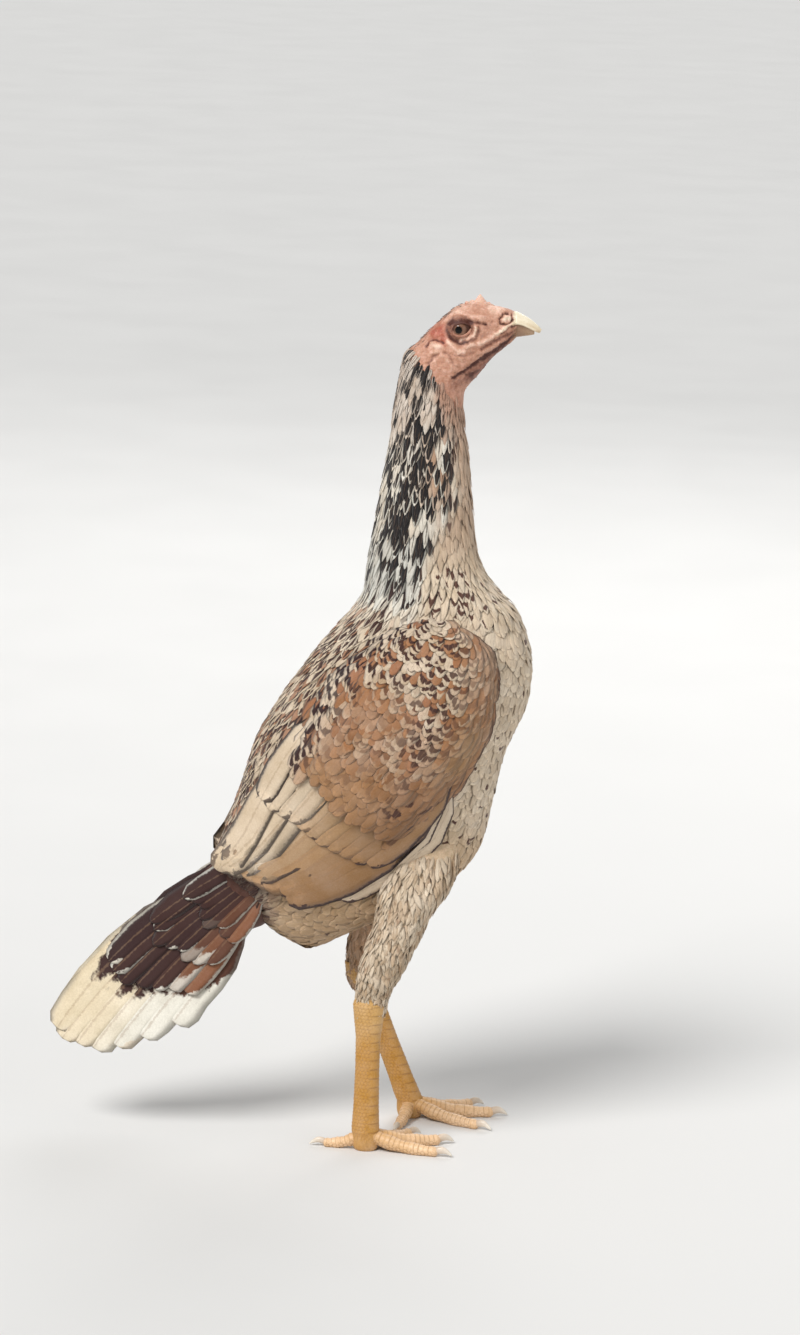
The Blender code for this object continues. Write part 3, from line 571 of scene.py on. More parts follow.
def plumage_marks(place: Array, draw: Draw) -> Marks:
    """Say how the feathers that root at these places are coloured.

    Args:
        place: Root places on the trunk, neck, wings and thighs.
        draw: The source of variation.

    Returns:
        Ground, mark and tip colours, and how strong the shaft streak, bar, tip and edge are.
    """
    x, _, z = place.T
    count = len(place)
    front = put_front(x, z)
    chance = draw.random((5, count))
    patchy = lump(place, 0.0085)
    small = lump(place, 0.0048, 11.0)
    neck = ease(z, 0.362, 0.388)
    limit = np.interp(z, [0.380, 0.400, 0.425, 0.455, 0.490, 0.510, 0.540], [0.50, 0.50, 0.62, 0.84,
        0.80, 0.56, 0.50])
    hackle = neck * fall(front - limit, -0.07, 0.07)
    middle = zone(z, front, (0.462, 0.55), (0.034, 0.42))
    nape = zone(z, front, (0.495, 0.22), (0.034, 0.28))
    want = hackle * (0.40 + 0.46 * middle - 0.18 * fall(z, 0.405, 0.430) + 0.34 * nape)
    fringe = neck * fall(np.abs(z - 0.386), 0.004, 0.011) * fall(front, 0.30, 0.50)
    dark = ease(patchy - (1.0 - np.maximum(want, fringe * 0.60)), -0.10, 0.06)
    back = (1.0 - neck) * fall(front, 0.20, 0.40)
    breast = (1.0 - neck) * ease(front, 0.60, 0.80) * ease(z, 0.215, 0.25)
    belly = (1.0 - neck) * fall(z, 0.190, 0.225) * (1.0 - back * 0.5)
    throat = fall(z, 0.400, 0.440) * ease(z, 0.330, 0.350)
    ground = layered(Tint.CREAM, (Tint.PALE, np.maximum(breast, throat) * (0.55 + 0.45 * small)),
        (Tint.BUFF, belly * (0.55 + 0.4 * small)), (Tint.NECK, ease(z, 0.395, 0.445) * (1.0 - hackle)
        * 0.75), (Tint.WHITE, hackle * (0.55 + 0.45 * small)), (Tint.TAN, hackle * zone(z, front,
        (0.475, 0.66), (0.030, 0.22)) * (chance[0] > 0.55) * 0.8),
        (Tint.GREY, hackle * fall(np.abs(z - 0.408), 0.012, 0.028) * 0.55),
        (Tint.THROAT, neck * (1.0 - 0.6 * hackle) * ease(z, 0.470, 0.512) * 0.85), (Tint.PALE, back * 0.6),
        (Tint.CHESTNUT, back * (chance[1] > 0.70) * 0.80), (Tint.BLACK, hackle * dark * (chance[3] > 0.62)
        * 0.96), (Tint.MAROON, back * fall(z, 0.204, 0.226) * 0.85))
    ground *= 0.92 + 0.16 * chance[2][:, None]
    mark = layered(Tint.BROWN, (Tint.BLACK, hackle), (Tint.MAROON, np.maximum(back * 0.8, fringe * 0.7)))
    streaky = ease(small - (1.0 - 0.72 * back), -0.10, 0.08)
    streak = np.clip(hackle * (dark * (0.78 + 0.30 * chance[3]) + (1.0 - dark) * (chance[3] > 0.70) * 0.20)
        + back * streaky * (0.42 + 0.45 * chance[3]), 0.0, 1.08)
    flecked = 0.05 + 0.55 * (1.0 - hackle) * zone(z, front, (0.381, 0.70), (0.012, 0.30))
    for strength, centre, reach in FLECKED_ZONES:
        flecked = flecked + strength * zone(z, front, centre, reach)
    spot = ((0.5 * small + 0.5 * chance[4]) > 1.0 - 0.62 * flecked - 0.10) * (1.0 - hackle) * (1.0 - back)
    lined = (breast + 0.6 * neck * (1.0 - hackle)) * (chance[0] > 0.74) * 0.40
    pattern = np.stack([streak, spot, np.zeros(count), 0.30 * back * (chance[4] > 0.5) + lined], 1)
    return Marks(ground, mark, with_start(plain(Tint.PALE, count)), pattern)


def put_front(x: Array, z: Array) -> Array:
    """Return how far forward a place is across the body at its height: 0 at the back, 1 at the front.

    Args:
        x: How far ahead the places are.
        z: Their heights.

    Returns:
        One share for each place.
    """
    levels, backs, fronts = np.concatenate([LEVELS[:, :3], NECK_SPAN]).T
    back, front = np.interp(z, levels, backs), np.interp(z, levels, fronts)
    return (x - back) / (front - back)


@dataclass
class BodyForm:
    """The trunk, neck and head as one run of rounded sections, from the vent to the bill."""

    rows: Array = field(default_factory=lambda: np.concatenate([LEVELS[:, [1, 0, 2, 0, 3]], SECTIONS]))
    neck_from: float = 17.0
    face_from: float = 26.3
    coat_depth: float = 0.0030

    @property
    def last(self) -> float:
        """The last section's number."""
        return len(self.rows) - 1.0

    def depth(self, s: Array) -> Array:
        """Return how deep the skin lies under the plumage at section s."""
        return np.interp(s, [0.0, 1.0, self.neck_from, self.face_from - 2.5, self.face_from, 33.5, 34.0],
            [0.0010, self.coat_depth, self.coat_depth, 0.0026, 0.0, 0.0, 0.0010])

    def point(self, s: Array, turn: Array) -> Array:
        """Return the skin's points.

        Args:
            s: Section numbers, which may be fractions.
            turn: Angles round the section, 0 at the front and pi at the back.

        Returns:
            The points, before the face is shaped.
        """
        s, turn = np.broadcast_arrays(s, turn)
        row = put(self.rows, s)
        power = np.interp(s, [0.0, self.neck_from, 20.0, self.last], [2.15, 2.15, 2.05, 2.2])
        back, front = xyz(row[..., 0], 0.0, row[..., 1]), xyz(row[..., 2], 0.0, row[..., 3])
        inset = self.depth(s)
        half = (front - back) / 2.0
        reach = np.linalg.norm(half, axis=-1)
        half = half * ((reach - inset) / reach)[..., None]
        wide = row[..., 4] - inset
        ahead = np.sign(np.cos(turn)) * np.abs(np.cos(turn)) ** (2.0 / power)
        aside = np.sign(np.sin(turn)) * np.abs(np.sin(turn)) ** (2.0 / power)
        return (front + back) / 2.0 + half * ahead[..., None] + xyz(0.0, wide * aside, 0.0)

    def normal(self, s: Array, turn: Array) -> Array:
        """Return the outward directions at points of the skin.

        Args:
            s: Section numbers.
            turn: Angles round the section.

        Returns:
            Directions of length one.
        """
        step = 0.02
        low = np.clip(s - step, 0.02, self.last)
        along = self.point(np.clip(s + step, 0.0, self.last), turn) - self.point(low, turn)
        around = self.point(s, turn + step) - self.point(s, turn - step)
        return unit(np.cross(around, along))


@dataclass(frozen=True)
class Fold:
    """One fold, groove, lobe or patch of the face, drawn as a line of x, z on its side."""

    line: Tuple[float, ...]
    width: float
    height: float
    # Above 0 mostly painted highlight, below 0 mostly painted shade, with some of the skin's own paler and
    # darker patches.
    pale: float = 0.0
    red: float = 0.0

    def nearness(self, x: Array, z: Array) -> Array:
        """Return 1 on the line and a smooth fall away from it.

        Args:
            x: How far ahead the places are.
            z: Their heights.

        Returns:
            A share for each place.
        """
        best = np.full(np.shape(x), 1.0)
        points = np.reshape(self.line, (-1, 2)) / 1000.0
        starts = points[:-1] if len(points) > 1 else points
        ends = points[1:] if len(points) > 1 else points
        for (ax, az), (bx, bz) in zip(starts, ends):
            span = max((bx - ax) ** 2 + (bz - az) ** 2, 1e-12)
            share = np.clip(((x - ax) * (bx - ax) + (z - az) * (bz - az)) / span, 0.0, 1.0)
            away = np.hypot(x - ax - share * (bx - ax), z - az - share * (bz - az))
            best = np.minimum(best, away)
        return np.exp(-((best / (self.width / 1000.0)) ** 2))


# Lines run x, z, x, z in millimetres; widths and heights too. Pale above 0 is mostly painted highlight on
# ridges, lids, lobes and the forehead; below 0 it is dark, mostly painted shade in grooves, under the brow,
# along the mouth and under the jaw, with the throat's own darker skin.
FACE_FOLDS = (
    # Brow: painted highlight on its ridge, then painted shade in the line under its overhang and between it
    # and the eye.
    Fold((22.2, 552.2, 24.4, 555.7, 29.1, 557.4, 35, 556.5, 42, 555.2, 46, 554.6), 1.5, 1.10, 0.40),
    Fold((23.4, 550.3, 26.8, 552.8, 32.2, 553.4, 38.1, 552.9, 45, 552, 48, 551.5), 0.8, -0.95, -1.0),
    Fold((26, 551.2, 32, 552.0, 38, 551.4), 1.2, 0.0, -0.45),
    # Lower lid: painted highlight on its fold and painted shade in the groove outside it.
    Fold((41.2, 549.1, 41.1, 546.6, 39.4, 543.9, 36.1, 541.6, 32.1, 540.8), 0.75, 0.70, 1.50),
    Fold((43.6, 549.7, 43.5, 546.2, 41.6, 542.7, 37.6, 539.7, 31.2, 538.7, 25.5, 541.2, 22.6, 546.5), 0.8,
        -0.70, -0.70),
    # Painted highlight on the fold under the eye; the ear's crease in painted shade, its red skin and pale
    # lobe; the cheek's bumps with painted highlights and its wrinkles in painted shade.
    Fold((23.3, 539.7, 26.9, 536.5, 30.9, 533.2, 33.9, 533.9, 36.7, 536.5, 39.6, 538.6), 1.1, 0.85, 0.90),
    Fold((9.4, 535.1, 11.5, 538.5, 15.4, 539.8, 20.4, 538.4), 0.8, -1.0, -1.0, 0.5),
    Fold((15, 544, 19, 546, 20, 541), 4.2, 0.0, -0.10, 0.85), Fold((14, 535.9, 18, 535.3), 2.1, 1.6, 0.95),
    Fold((14.2, 531.7, 17.1, 532.3), 1.2, 0.8, 0.55), Fold((20.2, 530.0), 1.2, 0.8, 0.50),
    Fold((23.4, 527.6), 1.3, 0.9, 0.60), Fold((18.5, 522.4), 1.3, 0.8, 0.45),
    Fold((15.4, 526.3), 1.2, 0.7, 0.40), Fold((25.9, 522.7), 1.3, 0.7, 0.50),
    Fold((22.0, 520.6), 1.1, 0.6, 0.35), Fold((29.3, 524.8), 1.3, 0.7, 0.40),
    Fold((31.5, 529.0), 1.2, 0.5, 0.30), Fold((11.5, 524.2, 14.3, 529.3, 17.6, 531.4), 0.8, -0.55, -0.60),
    Fold((21.7, 532.5, 25.5, 530.2, 27.5, 525.5), 0.8, -0.45, -0.45),
    # Mouth: painted highlights on the ridges of the gape and lower bill, painted shade along the mouth line
    # and under the jaw, the throat's dark red skin partly in painted shade, and wrinkles in painted highlight
    # and shade.
    Fold((43.6, 538.5, 51.4, 542.3, 58.1, 546.9, 63, 549.8), 1.2, 1.05, 0.95),
    Fold((45.7, 535.6, 54.4, 540.4, 62.2, 544.1, 68, 547.3), 1.1, -0.65, -0.60, 0.2),
    Fold((44, 531.8, 52, 536.4, 60, 541.2), 1.2, 0.65, 0.25),
    Fold((67.2, 543.5, 62.4, 539.9, 57.6, 536.2, 54.7, 533.4, 48.9, 530.7, 43.1, 526.7, 39.2, 523.6, 32.5,
        518.9, 27.6, 515.7), 1.15, -0.90, -1.60),
    Fold((61.5, 536.0, 53.5, 529.3, 46.8, 522.9, 39.5, 517.1), 3.4, 0.0, -0.72, 0.35),
    Fold((50, 527.0, 44, 521.8), 0.9, 0.5, 0.20), Fold((40, 519.5, 35.5, 516), 1.0, -0.5, -0.30),
    Fold((28, 531, 34, 530.5, 42, 534), 0.7, -0.35, -0.35),
    Fold((45, 547, 49.5, 549.5, 52, 553), 0.9, -0.35, -0.25), Fold((45, 543.5, 49, 545.0), 0.9, -0.35, -0.30),
    # A painted highlight over the forehead, a paler patch on the crown and a darker patch low on the throat.
    Fold((50.8, 560.8, 57, 559.6), 2.6, 0.0, 0.85), Fold((28, 559, 36, 561.5), 2.2, 0.0, 0.30),
    Fold((26, 509, 33, 513, 40, 515), 3.6, 0.0, -0.30, 0.1),
    Fold((59.9, 554.5, 62.8, 555.2), 1.8, 0.90, 1.80),
    # The nostril's ring in painted shade.
    Fold((61.7, 558.3, 58.3, 557.1, 56.4, 554.1, 57.5, 551.6, 60.5, 550.7, 63.4, 551.7, 65.2, 554.2, 64.4,
        557.2), 0.72, -0.90, -1.25),
    # Painted highlight along the upper bill's cutting edge and painted shade in the line under it.
    Fold((55.0, 544.6, 60.0, 548.4, 64.0, 551.0, 69.0, 551.6), 0.85, 0.50, 1.40),
    Fold((58.0, 545.4, 63.0, 549.2, 69.0, 550.2), 0.65, -0.60, -1.10),
)
HORN_BORDER = ((0.5480, 0.5505, 0.5535, 0.5569, 0.5605), (0.0636, 0.0646, 0.0656, 0.0656, 0.0664))
EYE = (0.0312, 0.0112, 0.5474)
EYE_RADIUS = 0.0070


def wander(points: Array, shift: float) -> Array:
    """Return how far the lines of the folds stray at each point, in metres.

    Args:
        points: The points.
        shift: Which of the noises is used.

    Returns:
        One distance for each point.
    """
    away = Vector((shift, shift, shift))
    strays = [noise.noise(Vector(row) * 330.0 + away) + 0.5 * noise.noise(Vector(row) * 900.0 + away)
              for row in points]
    return 0.00095 * np.array(strays)


@dataclass
class Face:
    """The bare skin's shape: folds, lids over the eyeball and the opening between them."""

    lid: float = 0.0008
    opening: Tuple[float, float] = (0.0058, 0.0043)
    orbit: float = 0.0100

    def almond(self, x: Array, z: Array) -> Array:
        """Return how far out of the eye's opening a place is: 1 on its edge.

        Args:
            x: How far ahead the places are.
            z: Their heights.

        Returns:
            A distance in half openings.
        """
        across = (x - EYE[0] - 0.0006) / self.opening[0]
        up = (z - EYE[2] - 0.0002 - 0.0006 * across) / self.opening[1]
        corner = 1.0 + 0.14 * ease(np.abs(across), 0.6, 1.2) * np.sign(across)
        return np.hypot(across / corner, up)

    def shape(self, points: Array, normals: Array) -> Tuple[Array, Array, Array]:
        """Fold the face and seat its eyes.

        Args:
            points: The head's smooth points.
            normals: Their outward directions.

        Returns:
            The shaped points, how pale each is, above 0 as painted highlight and below 0 mostly as painted
            shade, and how red each is.
        """
        x, y, z = points.T
        aside = ease(np.abs(normals[:, 1]), 0.12, 0.55)
        lift, pale, red = np.zeros((3, len(points)))
        drift = np.stack([wander(points, shift) for shift in (0.0, 41.0, 83.0)], 1)
        for fold in FACE_FOLDS:
            near = fold.nearness(x + drift[:, 0], z + drift[:, 2]) * (1.0 + 500.0 * drift[:, 1])
            near = near * aside if fold.height else near
            lift += near * fold.height / 1000.0
            pale += near * fold.pale
            red += near * fold.red
        bumps = np.array([noise.noise(Vector(row) * 420.0) + 0.6 * noise.noise(Vector(row) * 1100.0)
            for row in points * (1.0, 1.0, 1.5)])
        made = points + normals * (lift + 0.00022 * bumps)[:, None]
        # Raised bumps are painted paler and sunken ones darker: painted highlight and shade of the relief.
        pale += 0.22 * bumps
        side = np.sign(y)
        away = np.hypot(made[:, 0] - EYE[0], made[:, 2] - EYE[2])
        lid_radius = EYE_RADIUS + self.lid
        ball = EYE[1] + np.sqrt(np.maximum(lid_radius ** 2 - away ** 2, 0.0))
        hold = fall(away, lid_radius * 0.86, self.orbit) * ease(np.abs(y), 0.004, 0.009)
        reach = np.abs(made[:, 1])
        over = np.maximum(reach, ball)
        drawn = fall(away, 0.0056, 0.0088) * hold
        reach = reach + (over - reach) * hold
        reach = reach + (ball - reach) * drawn
        inside = (self.almond(made[:, 0], made[:, 2]) < 1.0) & (hold > 0.5)
        sunk = EYE[1] + np.sqrt(np.maximum((EYE_RADIUS - 0.0016) ** 2 - away ** 2, 0.0))
        made[:, 1] = side * np.where(inside, sunk, reach)
        lower_lid = ease(1.75 - self.almond(made[:, 0], made[:, 2]), 0.0, 0.5) * ease(EYE[2] - made[:, 2],
            -0.001, 0.003)
        pale += (0.15 * lower_lid - 0.55) * fall(away, 0.0088, 0.0102) * aside
        return made, np.clip(pale, -1.0, 1.8), np.clip(red, 0.0, 1.0)


def horn_colour(place: Array) -> Tuple[Array, Array]:
    """Return the upper bill's colours at these places, and how far each is horn and not skin.

    Args:
        place: The places.

    Returns:
        Colours, and shares from 0 to 1.
    """
    x, _, z = place.T
    low = np.interp(x, [0.060, 0.070, 0.078, 0.084], [0.5490, 0.5515, 0.5500, 0.5462])
    horn = mix(Tint.HORN_FOOT, Tint.HORN, ease(z - low, -0.0015, 0.0030))
    return horn, ease(x - np.interp(z, *HORN_BORDER), -0.0012, 0.0012) * ease(z, 0.5490, 0.5508)


def skin_colour(place: Array, bare: Array, pale: Array, red: Array) -> Array:
    """Colour the skin: bare and pink on the face, with painted highlight and shade on its folds, and under the
    plumage in the plumage's colour, darkened as painted shade.

    Args:
        place: The points.
        bare: How bare each is.
        pale: How much paler each is, as painted highlight; below 0 how much darker, mostly as painted shade.
        red: How flushed each is.

    Returns:
        One colour for each point.
    """
    # Under the plumage the skin takes the plumage's colour at three quarters: painted shade in the gaps
    # between the feathers.
    under = plumage_marks(place, np.random.default_rng(5)).ground * 0.75
    horn, share = horn_colour(place)
    # Pink paints highlights, and past 0.9 pale paints the brightest; the darkest face tint paints shade along
    # with the throat's dark skin; horn gives way to that shade; the dark lower bill tint, partly painted
    # shade, runs onto the skin at the bill's base.
    face = layered(Tint.FACE, (Tint.RED, red), (Tint.PINK, np.clip(pale, 0.0, 1.0)),
        (Tint.PALE, np.clip(pale - 0.9, 0.0, 0.8)), (Tint.SHADE_AND_GULAR, np.clip(-pale, 0.0, 1.0)),
        (horn, share * (1.0 - np.clip(-1.5 * pale, 0.0, 0.9))), (Tint.LOWER_HORN_AND_SHADE, ease(place[:, 0],
        0.0640, 0.0685) * ease(-place[:, 2], -0.5492, -0.5478)))
    return mix(under, face, bare)


@dataclass
class Skin:
    """One closed skin over the trunk, neck, head, thighs and the flesh of the wings."""

    form: BodyForm = field(default_factory=BodyForm)
    face: Face = field(default_factory=Face)
    sides: int = 160
    thigh_inset: float = 0.0026
    sleeve: float = 0.16
    name: str = "skin"

    def sections(self) -> Array:
        """Return the section numbers of the skin's rings, close together on the head."""
        return np.concatenate([np.linspace(0.0, 17.0, 86)[:-1], np.linspace(17.0, 24.0, 44)[:-1],
            np.linspace(24.0, 26.0, 16)[:-1], np.linspace(26.0, 31.5, 84)[:-1], np.linspace(31.5,
            self.form.last, 84)])

    def body(self) -> Thing:
        """Build the trunk, neck and head with the face shaped.

        Returns:
            The skin, painted.
        """
        s = self.sections()
        turn = round_turn(self.sides)
        s_grid, turn_grid = np.meshgrid(s, turn, indexing="ij")
        grid = self.form.point(s_grid, turn_grid)
        normals = self.form.normal(s_grid, turn_grid)
        head = s_grid.ravel() > 23.5
        points = grid.reshape(-1, 3)
        weight = (ease(s_grid.ravel(), 24.0, 25.5) * fall(s_grid.ravel(), 33.84, 34.0))[head, None]
        shaped, pale, red = self.face.shape(points[head], normals.reshape(-1, 3)[head])
        points[head] = points[head] * (1.0 - weight) + shaped * weight
        made = skinned(self.name, points.reshape(grid.shape))
        places = coordinates(made)
        bare = np.zeros(len(places))
        bare[:len(points)] = ease(s_grid.ravel() + 0.9 * np.cos(turn_grid.ravel()), 24.7, 25.5)
        tints = np.zeros((2, len(places)))
        tints[0, :len(points)][head] = pale
        tints[1, :len(points)][head] = red
        bare[-1] = 1.0
        paint(made, "ground", skin_colour(places, bare, tints[0], tints[1]))
        paint(made, "bare", bare)
        return made

    def thigh(self, side: int) -> Thing:
        """Build one thigh and the start of its hock.

        Args:
            side: -1 for the right one and 1 for the left.

        Returns:
            The thigh, painted.
        """
        turn = round_turn(40)
        hock, ankle = np.array(SHANKS[side])
        low = hock + (ankle - hock) * self.sleeve
        rows = np.array([(low[2], low[0] - 0.0104, low[0] + 0.0104, low[1], 0.0098)] + list(THIGHS[side]))
        row = put(rows, np.linspace(0.0, len(rows) - 1.0, 52))
        deep = (row[:, 2] - row[:, 1]) / 2.0 - self.thigh_inset
        wide = row[:, 4] - self.thigh_inset
        grid = xyz(((row[:, 1] + row[:, 2]) / 2.0)[:, None] + deep[:, None] * np.cos(turn),
            row[:, 3][:, None] + wide[:, None] * np.sin(turn), row[:, :1])
        made = skinned(f"thigh_skin_{SIDE_NAMES[side]}", grid)
        return in_one_colour(made, Tint.CREAM)


class Outline(Enum):
    """How wide a feather is from its root to its tip, as a share of its widest."""

    ROUND = (0.30, 0.74, 0.98, 1.0, 0.80, 0.42)
    POINTED = (0.34, 0.86, 1.0, 0.80, 0.44, 0.14)
    FLIGHT = (0.30, 0.72, 0.92, 1.0, 0.98, 0.94, 0.78, 0.44)
    WISP = (0.20, 0.55, 0.62, 0.48, 0.28, 0.08)


STATIONS = {6: (0.0, 0.06, 0.26, 0.50, 0.73, 0.89, 0.97, 1.0),
            8: (0.0, 0.04, 0.18, 0.36, 0.56, 0.74, 0.87, 0.96, 0.992, 1.0)}


@dataclass
class Lay:
    """Where feathers lie: each one's middle line, and the directions across and out of it."""

    middle: Array
    across: Array
    out: Array


@dataclass
class Vanes:
    """Builds one mesh of many feathers, each a thin closed vane with a raised shaft."""

    name: str
    outline: Outline = Outline.ROUND
    thickness: float = 0.00016
    shaft: float = 0.00016
    fray: float = 0.09

    @property
    def places(self) -> Tuple[float, ...]:
        """Shares of a feather's length where it has a station, root and tip included."""
        return STATIONS[len(self.outline.value)]

    def rings(self, lay: Lay, half: Array, lift: Array, camber: Array, roll: Array, draw: Draw) -> Array:
        """Return the points round each station of each feather.

        Args:
            lay: Middle lines and directions.
            half: Half widths at the widest.
            lift: Heights over the bed.
            camber: How strongly each curves down.
            roll: How far each leans.
            draw: The source of variation.

        Returns:
            Points by feather, station and place round it.
        """
        shares = np.asarray(self.outline.value)
        count = len(half)
        wide = half[:, None] * shares[None]
        fray = 1.0 + self.fray * draw.normal(size=(count, len(shares), 2))
        columns = np.array([-1.0, -0.5, 0.0, 0.5, 1.0])
        spread = columns * wide[:, :, None]
        spread[:, :, 0] *= fray[:, :, 0]
        spread[:, :, 4] *= fray[:, :, 1]
        ridge = self.shaft * (columns == 0.0)
        rise = (lift[:, 1:-1, None] - camber[:, None, None] * spread ** 2 + roll[:, None, None] * spread
            + ridge - self.thickness * np.abs(columns))
        mid, across, out = (part[:, 1:-1, None, :] for part in (lay.middle, lay.across, lay.out))
        top = mid + across * spread[..., None] + out * rise[..., None]
        low = mid + out * (lift[:, 1:-1, None, None] - self.thickness)
        return np.concatenate([top, low], 2)

    def build(self, lay: Lay, half: Array, lift: Array, camber: Array, roll: Array, marks: Marks,
            patch: Array, draw: Draw) -> Thing:
        """Build the feathers as one mesh with their colours and maps.

        Args:
            lay: Middle lines and directions, with a row for the root and for the tip.
            half: Half widths at the widest.
            lift: Heights over the bed by feather and station.
            camber: How strongly each curves down to its edges.
            roll: How far each leans to one side.
            marks: Their colours.
            patch: Their roots' places on the unwrapped skin.
            draw: The source of variation.

        Returns:
            The mesh object.
        """
        ring = self.rings(lay, half, lift, camber, roll, draw)
        count, rows, sides = ring.shape[:3]
        root = lay.middle[:, :1] + lay.out[:, :1] * lift[:, :1, None]
        tip = lay.middle[:, -1:] + lay.out[:, -1:] * lift[:, -1:, None]
        points = np.concatenate([ring.reshape(count, rows * sides, 3), root, tip], 1)
        faces = tube_faces(rows, sides)
        size = rows * sides + 2
        allfaces = np.where(faces[None] >= 0, faces[None] + (np.arange(count) * size)[:, None, None], -1)
        made = new_mesh(self.name, points.reshape(-1, 3), allfaces.reshape(-1, 4))
        across = np.tile(np.array([0.0, 0.25, 0.5, 0.75, 1.0, 0.5]), rows)
        along = np.repeat(np.asarray(self.places)[1:-1], sides)
        own = np.stack([np.append(across, (0.5, 0.5)), np.append(along, (0.0, 1.0))], 1)
        map_points(made, "Vane", np.tile(own, (count, 1)))
        map_points(made, "OFBake", (patch[:, None] + (own - 0.5)[None] * 0.003).reshape(-1, 2))
        for name in ("ground", "mark", "tip", "pattern"):
            paint(made, name, np.repeat(getattr(marks, name), size, 0))
        return made


def lying(share: Array, root: float, rise: Array) -> Array:
    """Return how high feathers stand along their length, rising at once and then lying flat."""
    return root + (rise - root) * (1.0 - (1.0 - np.asarray(share, float)) ** 1.9)


@dataclass
class Tract:
    """A bed of skin that feathers grow from, followed by dropping points onto it."""

    bed: Thing

    def __post_init__(self) -> None:
        """Prepare the bed for dropping points onto it."""
        mesh = bmesh.new()
        mesh.from_mesh(self.bed.data)
        self.tree = BVHTree.FromBMesh(mesh)
        mesh.free()

    def lay(self, roots: Array, headings: Array, lengths: Array, places: Sequence[float]) -> Lay:
        """Run each feather's middle line over the bed.

        Args:
            roots: Where the feathers grow.
            headings: Which way they lie.
            lengths: How long they are.
            places: The stations' shares of the length.

        Returns:
            The lay of the feathers.
        """
        middle = np.zeros((len(roots), len(places), 3))
        across = np.zeros_like(middle)
        out = np.zeros_like(middle)
        for i, (root, heading, length) in enumerate(zip(roots, headings, lengths)):
            spot, normal, _, _ = self.tree.find_nearest(Vector(root))
            ahead = Vector(heading)
            before = 0.0
            for k, place in enumerate(places):
                ahead = (ahead - normal * ahead.dot(normal)).normalized()
                spot, normal, _, _ = self.tree.find_nearest(spot + ahead * length * (place - before))
                before = place
                middle[i, k] = spot
                out[i, k] = normal
                across[i, k] = ahead.cross(normal)
        for _ in range(2):
            out[:, 1:-1] = unit(out[:, :-2] + 2.0 * out[:, 1:-1] + out[:, 2:])
        return Lay(middle, unit(across), unit(out))


def unwrapped(turn: Array, along: Array, length: float) -> Array:
    """Return places on the unwrapped skin of a rounded form, from the turn about it and the way along it."""
    return np.stack([0.02 + 0.96 * (turn % math.tau) / math.tau, 0.02 + 0.96 * along / length], 1)


def flow(place: Array) -> Array:
    """Return the way the feathers of the trunk and neck lie at each place.

    Args:
        place: The feathers' roots.

    Returns:
        One direction for each.
    """
    z = place[:, 2]
    trunk, vent, neck, nape = (-0.46, 0.0, -0.89), (-0.97, 0.0, -0.24), (-0.10, 0.0, -1.0), (-0.75,
        0.0, -0.65)
    return layered(trunk, (vent, fall(z, 0.150, 0.205)), (neck, ease(z, 0.350, 0.400)),
        (nape, ease(z, 0.515, 0.545)))


def in_wing(x: Array, z: Array, shrink: float) -> Array:
    """Return whether places lie behind the folded wing, seen from the side.

    Args:
        x: How far ahead the places are.
        z: Their heights.
        shrink: How much smaller than the wing the outline is taken.

    Returns:
        True for each place within it.
    """
    lower = put(WING_LOWER_EDGE, np.linspace(0.0, 8.0, 40))
    upper = put(WING_UPPER_EDGE, np.linspace(0.0, 6.0, 40))
    ring = np.concatenate([lower, upper[::-1]])
    centre = ring.mean(0)
    ring = centre + (ring - centre) * (1.0 - shrink)
    inside = np.zeros(np.shape(x), bool)
    for (ax, az), (bx, bz) in zip(ring, np.roll(ring, -1, 0)):
        crosses = (az > z) != (bz > z)
        inside ^= crosses & (x < (bx - ax) * (z - az) / (bz - az + 1e-12) + ax)
    return inside


class Patchwork(Enum):
    """The pieces that the feathers of the trunk and neck are made in."""

    HACKLE = "hackle_feathers"
    BREAST = "breast_feathers"
    BACK = "back_feathers"


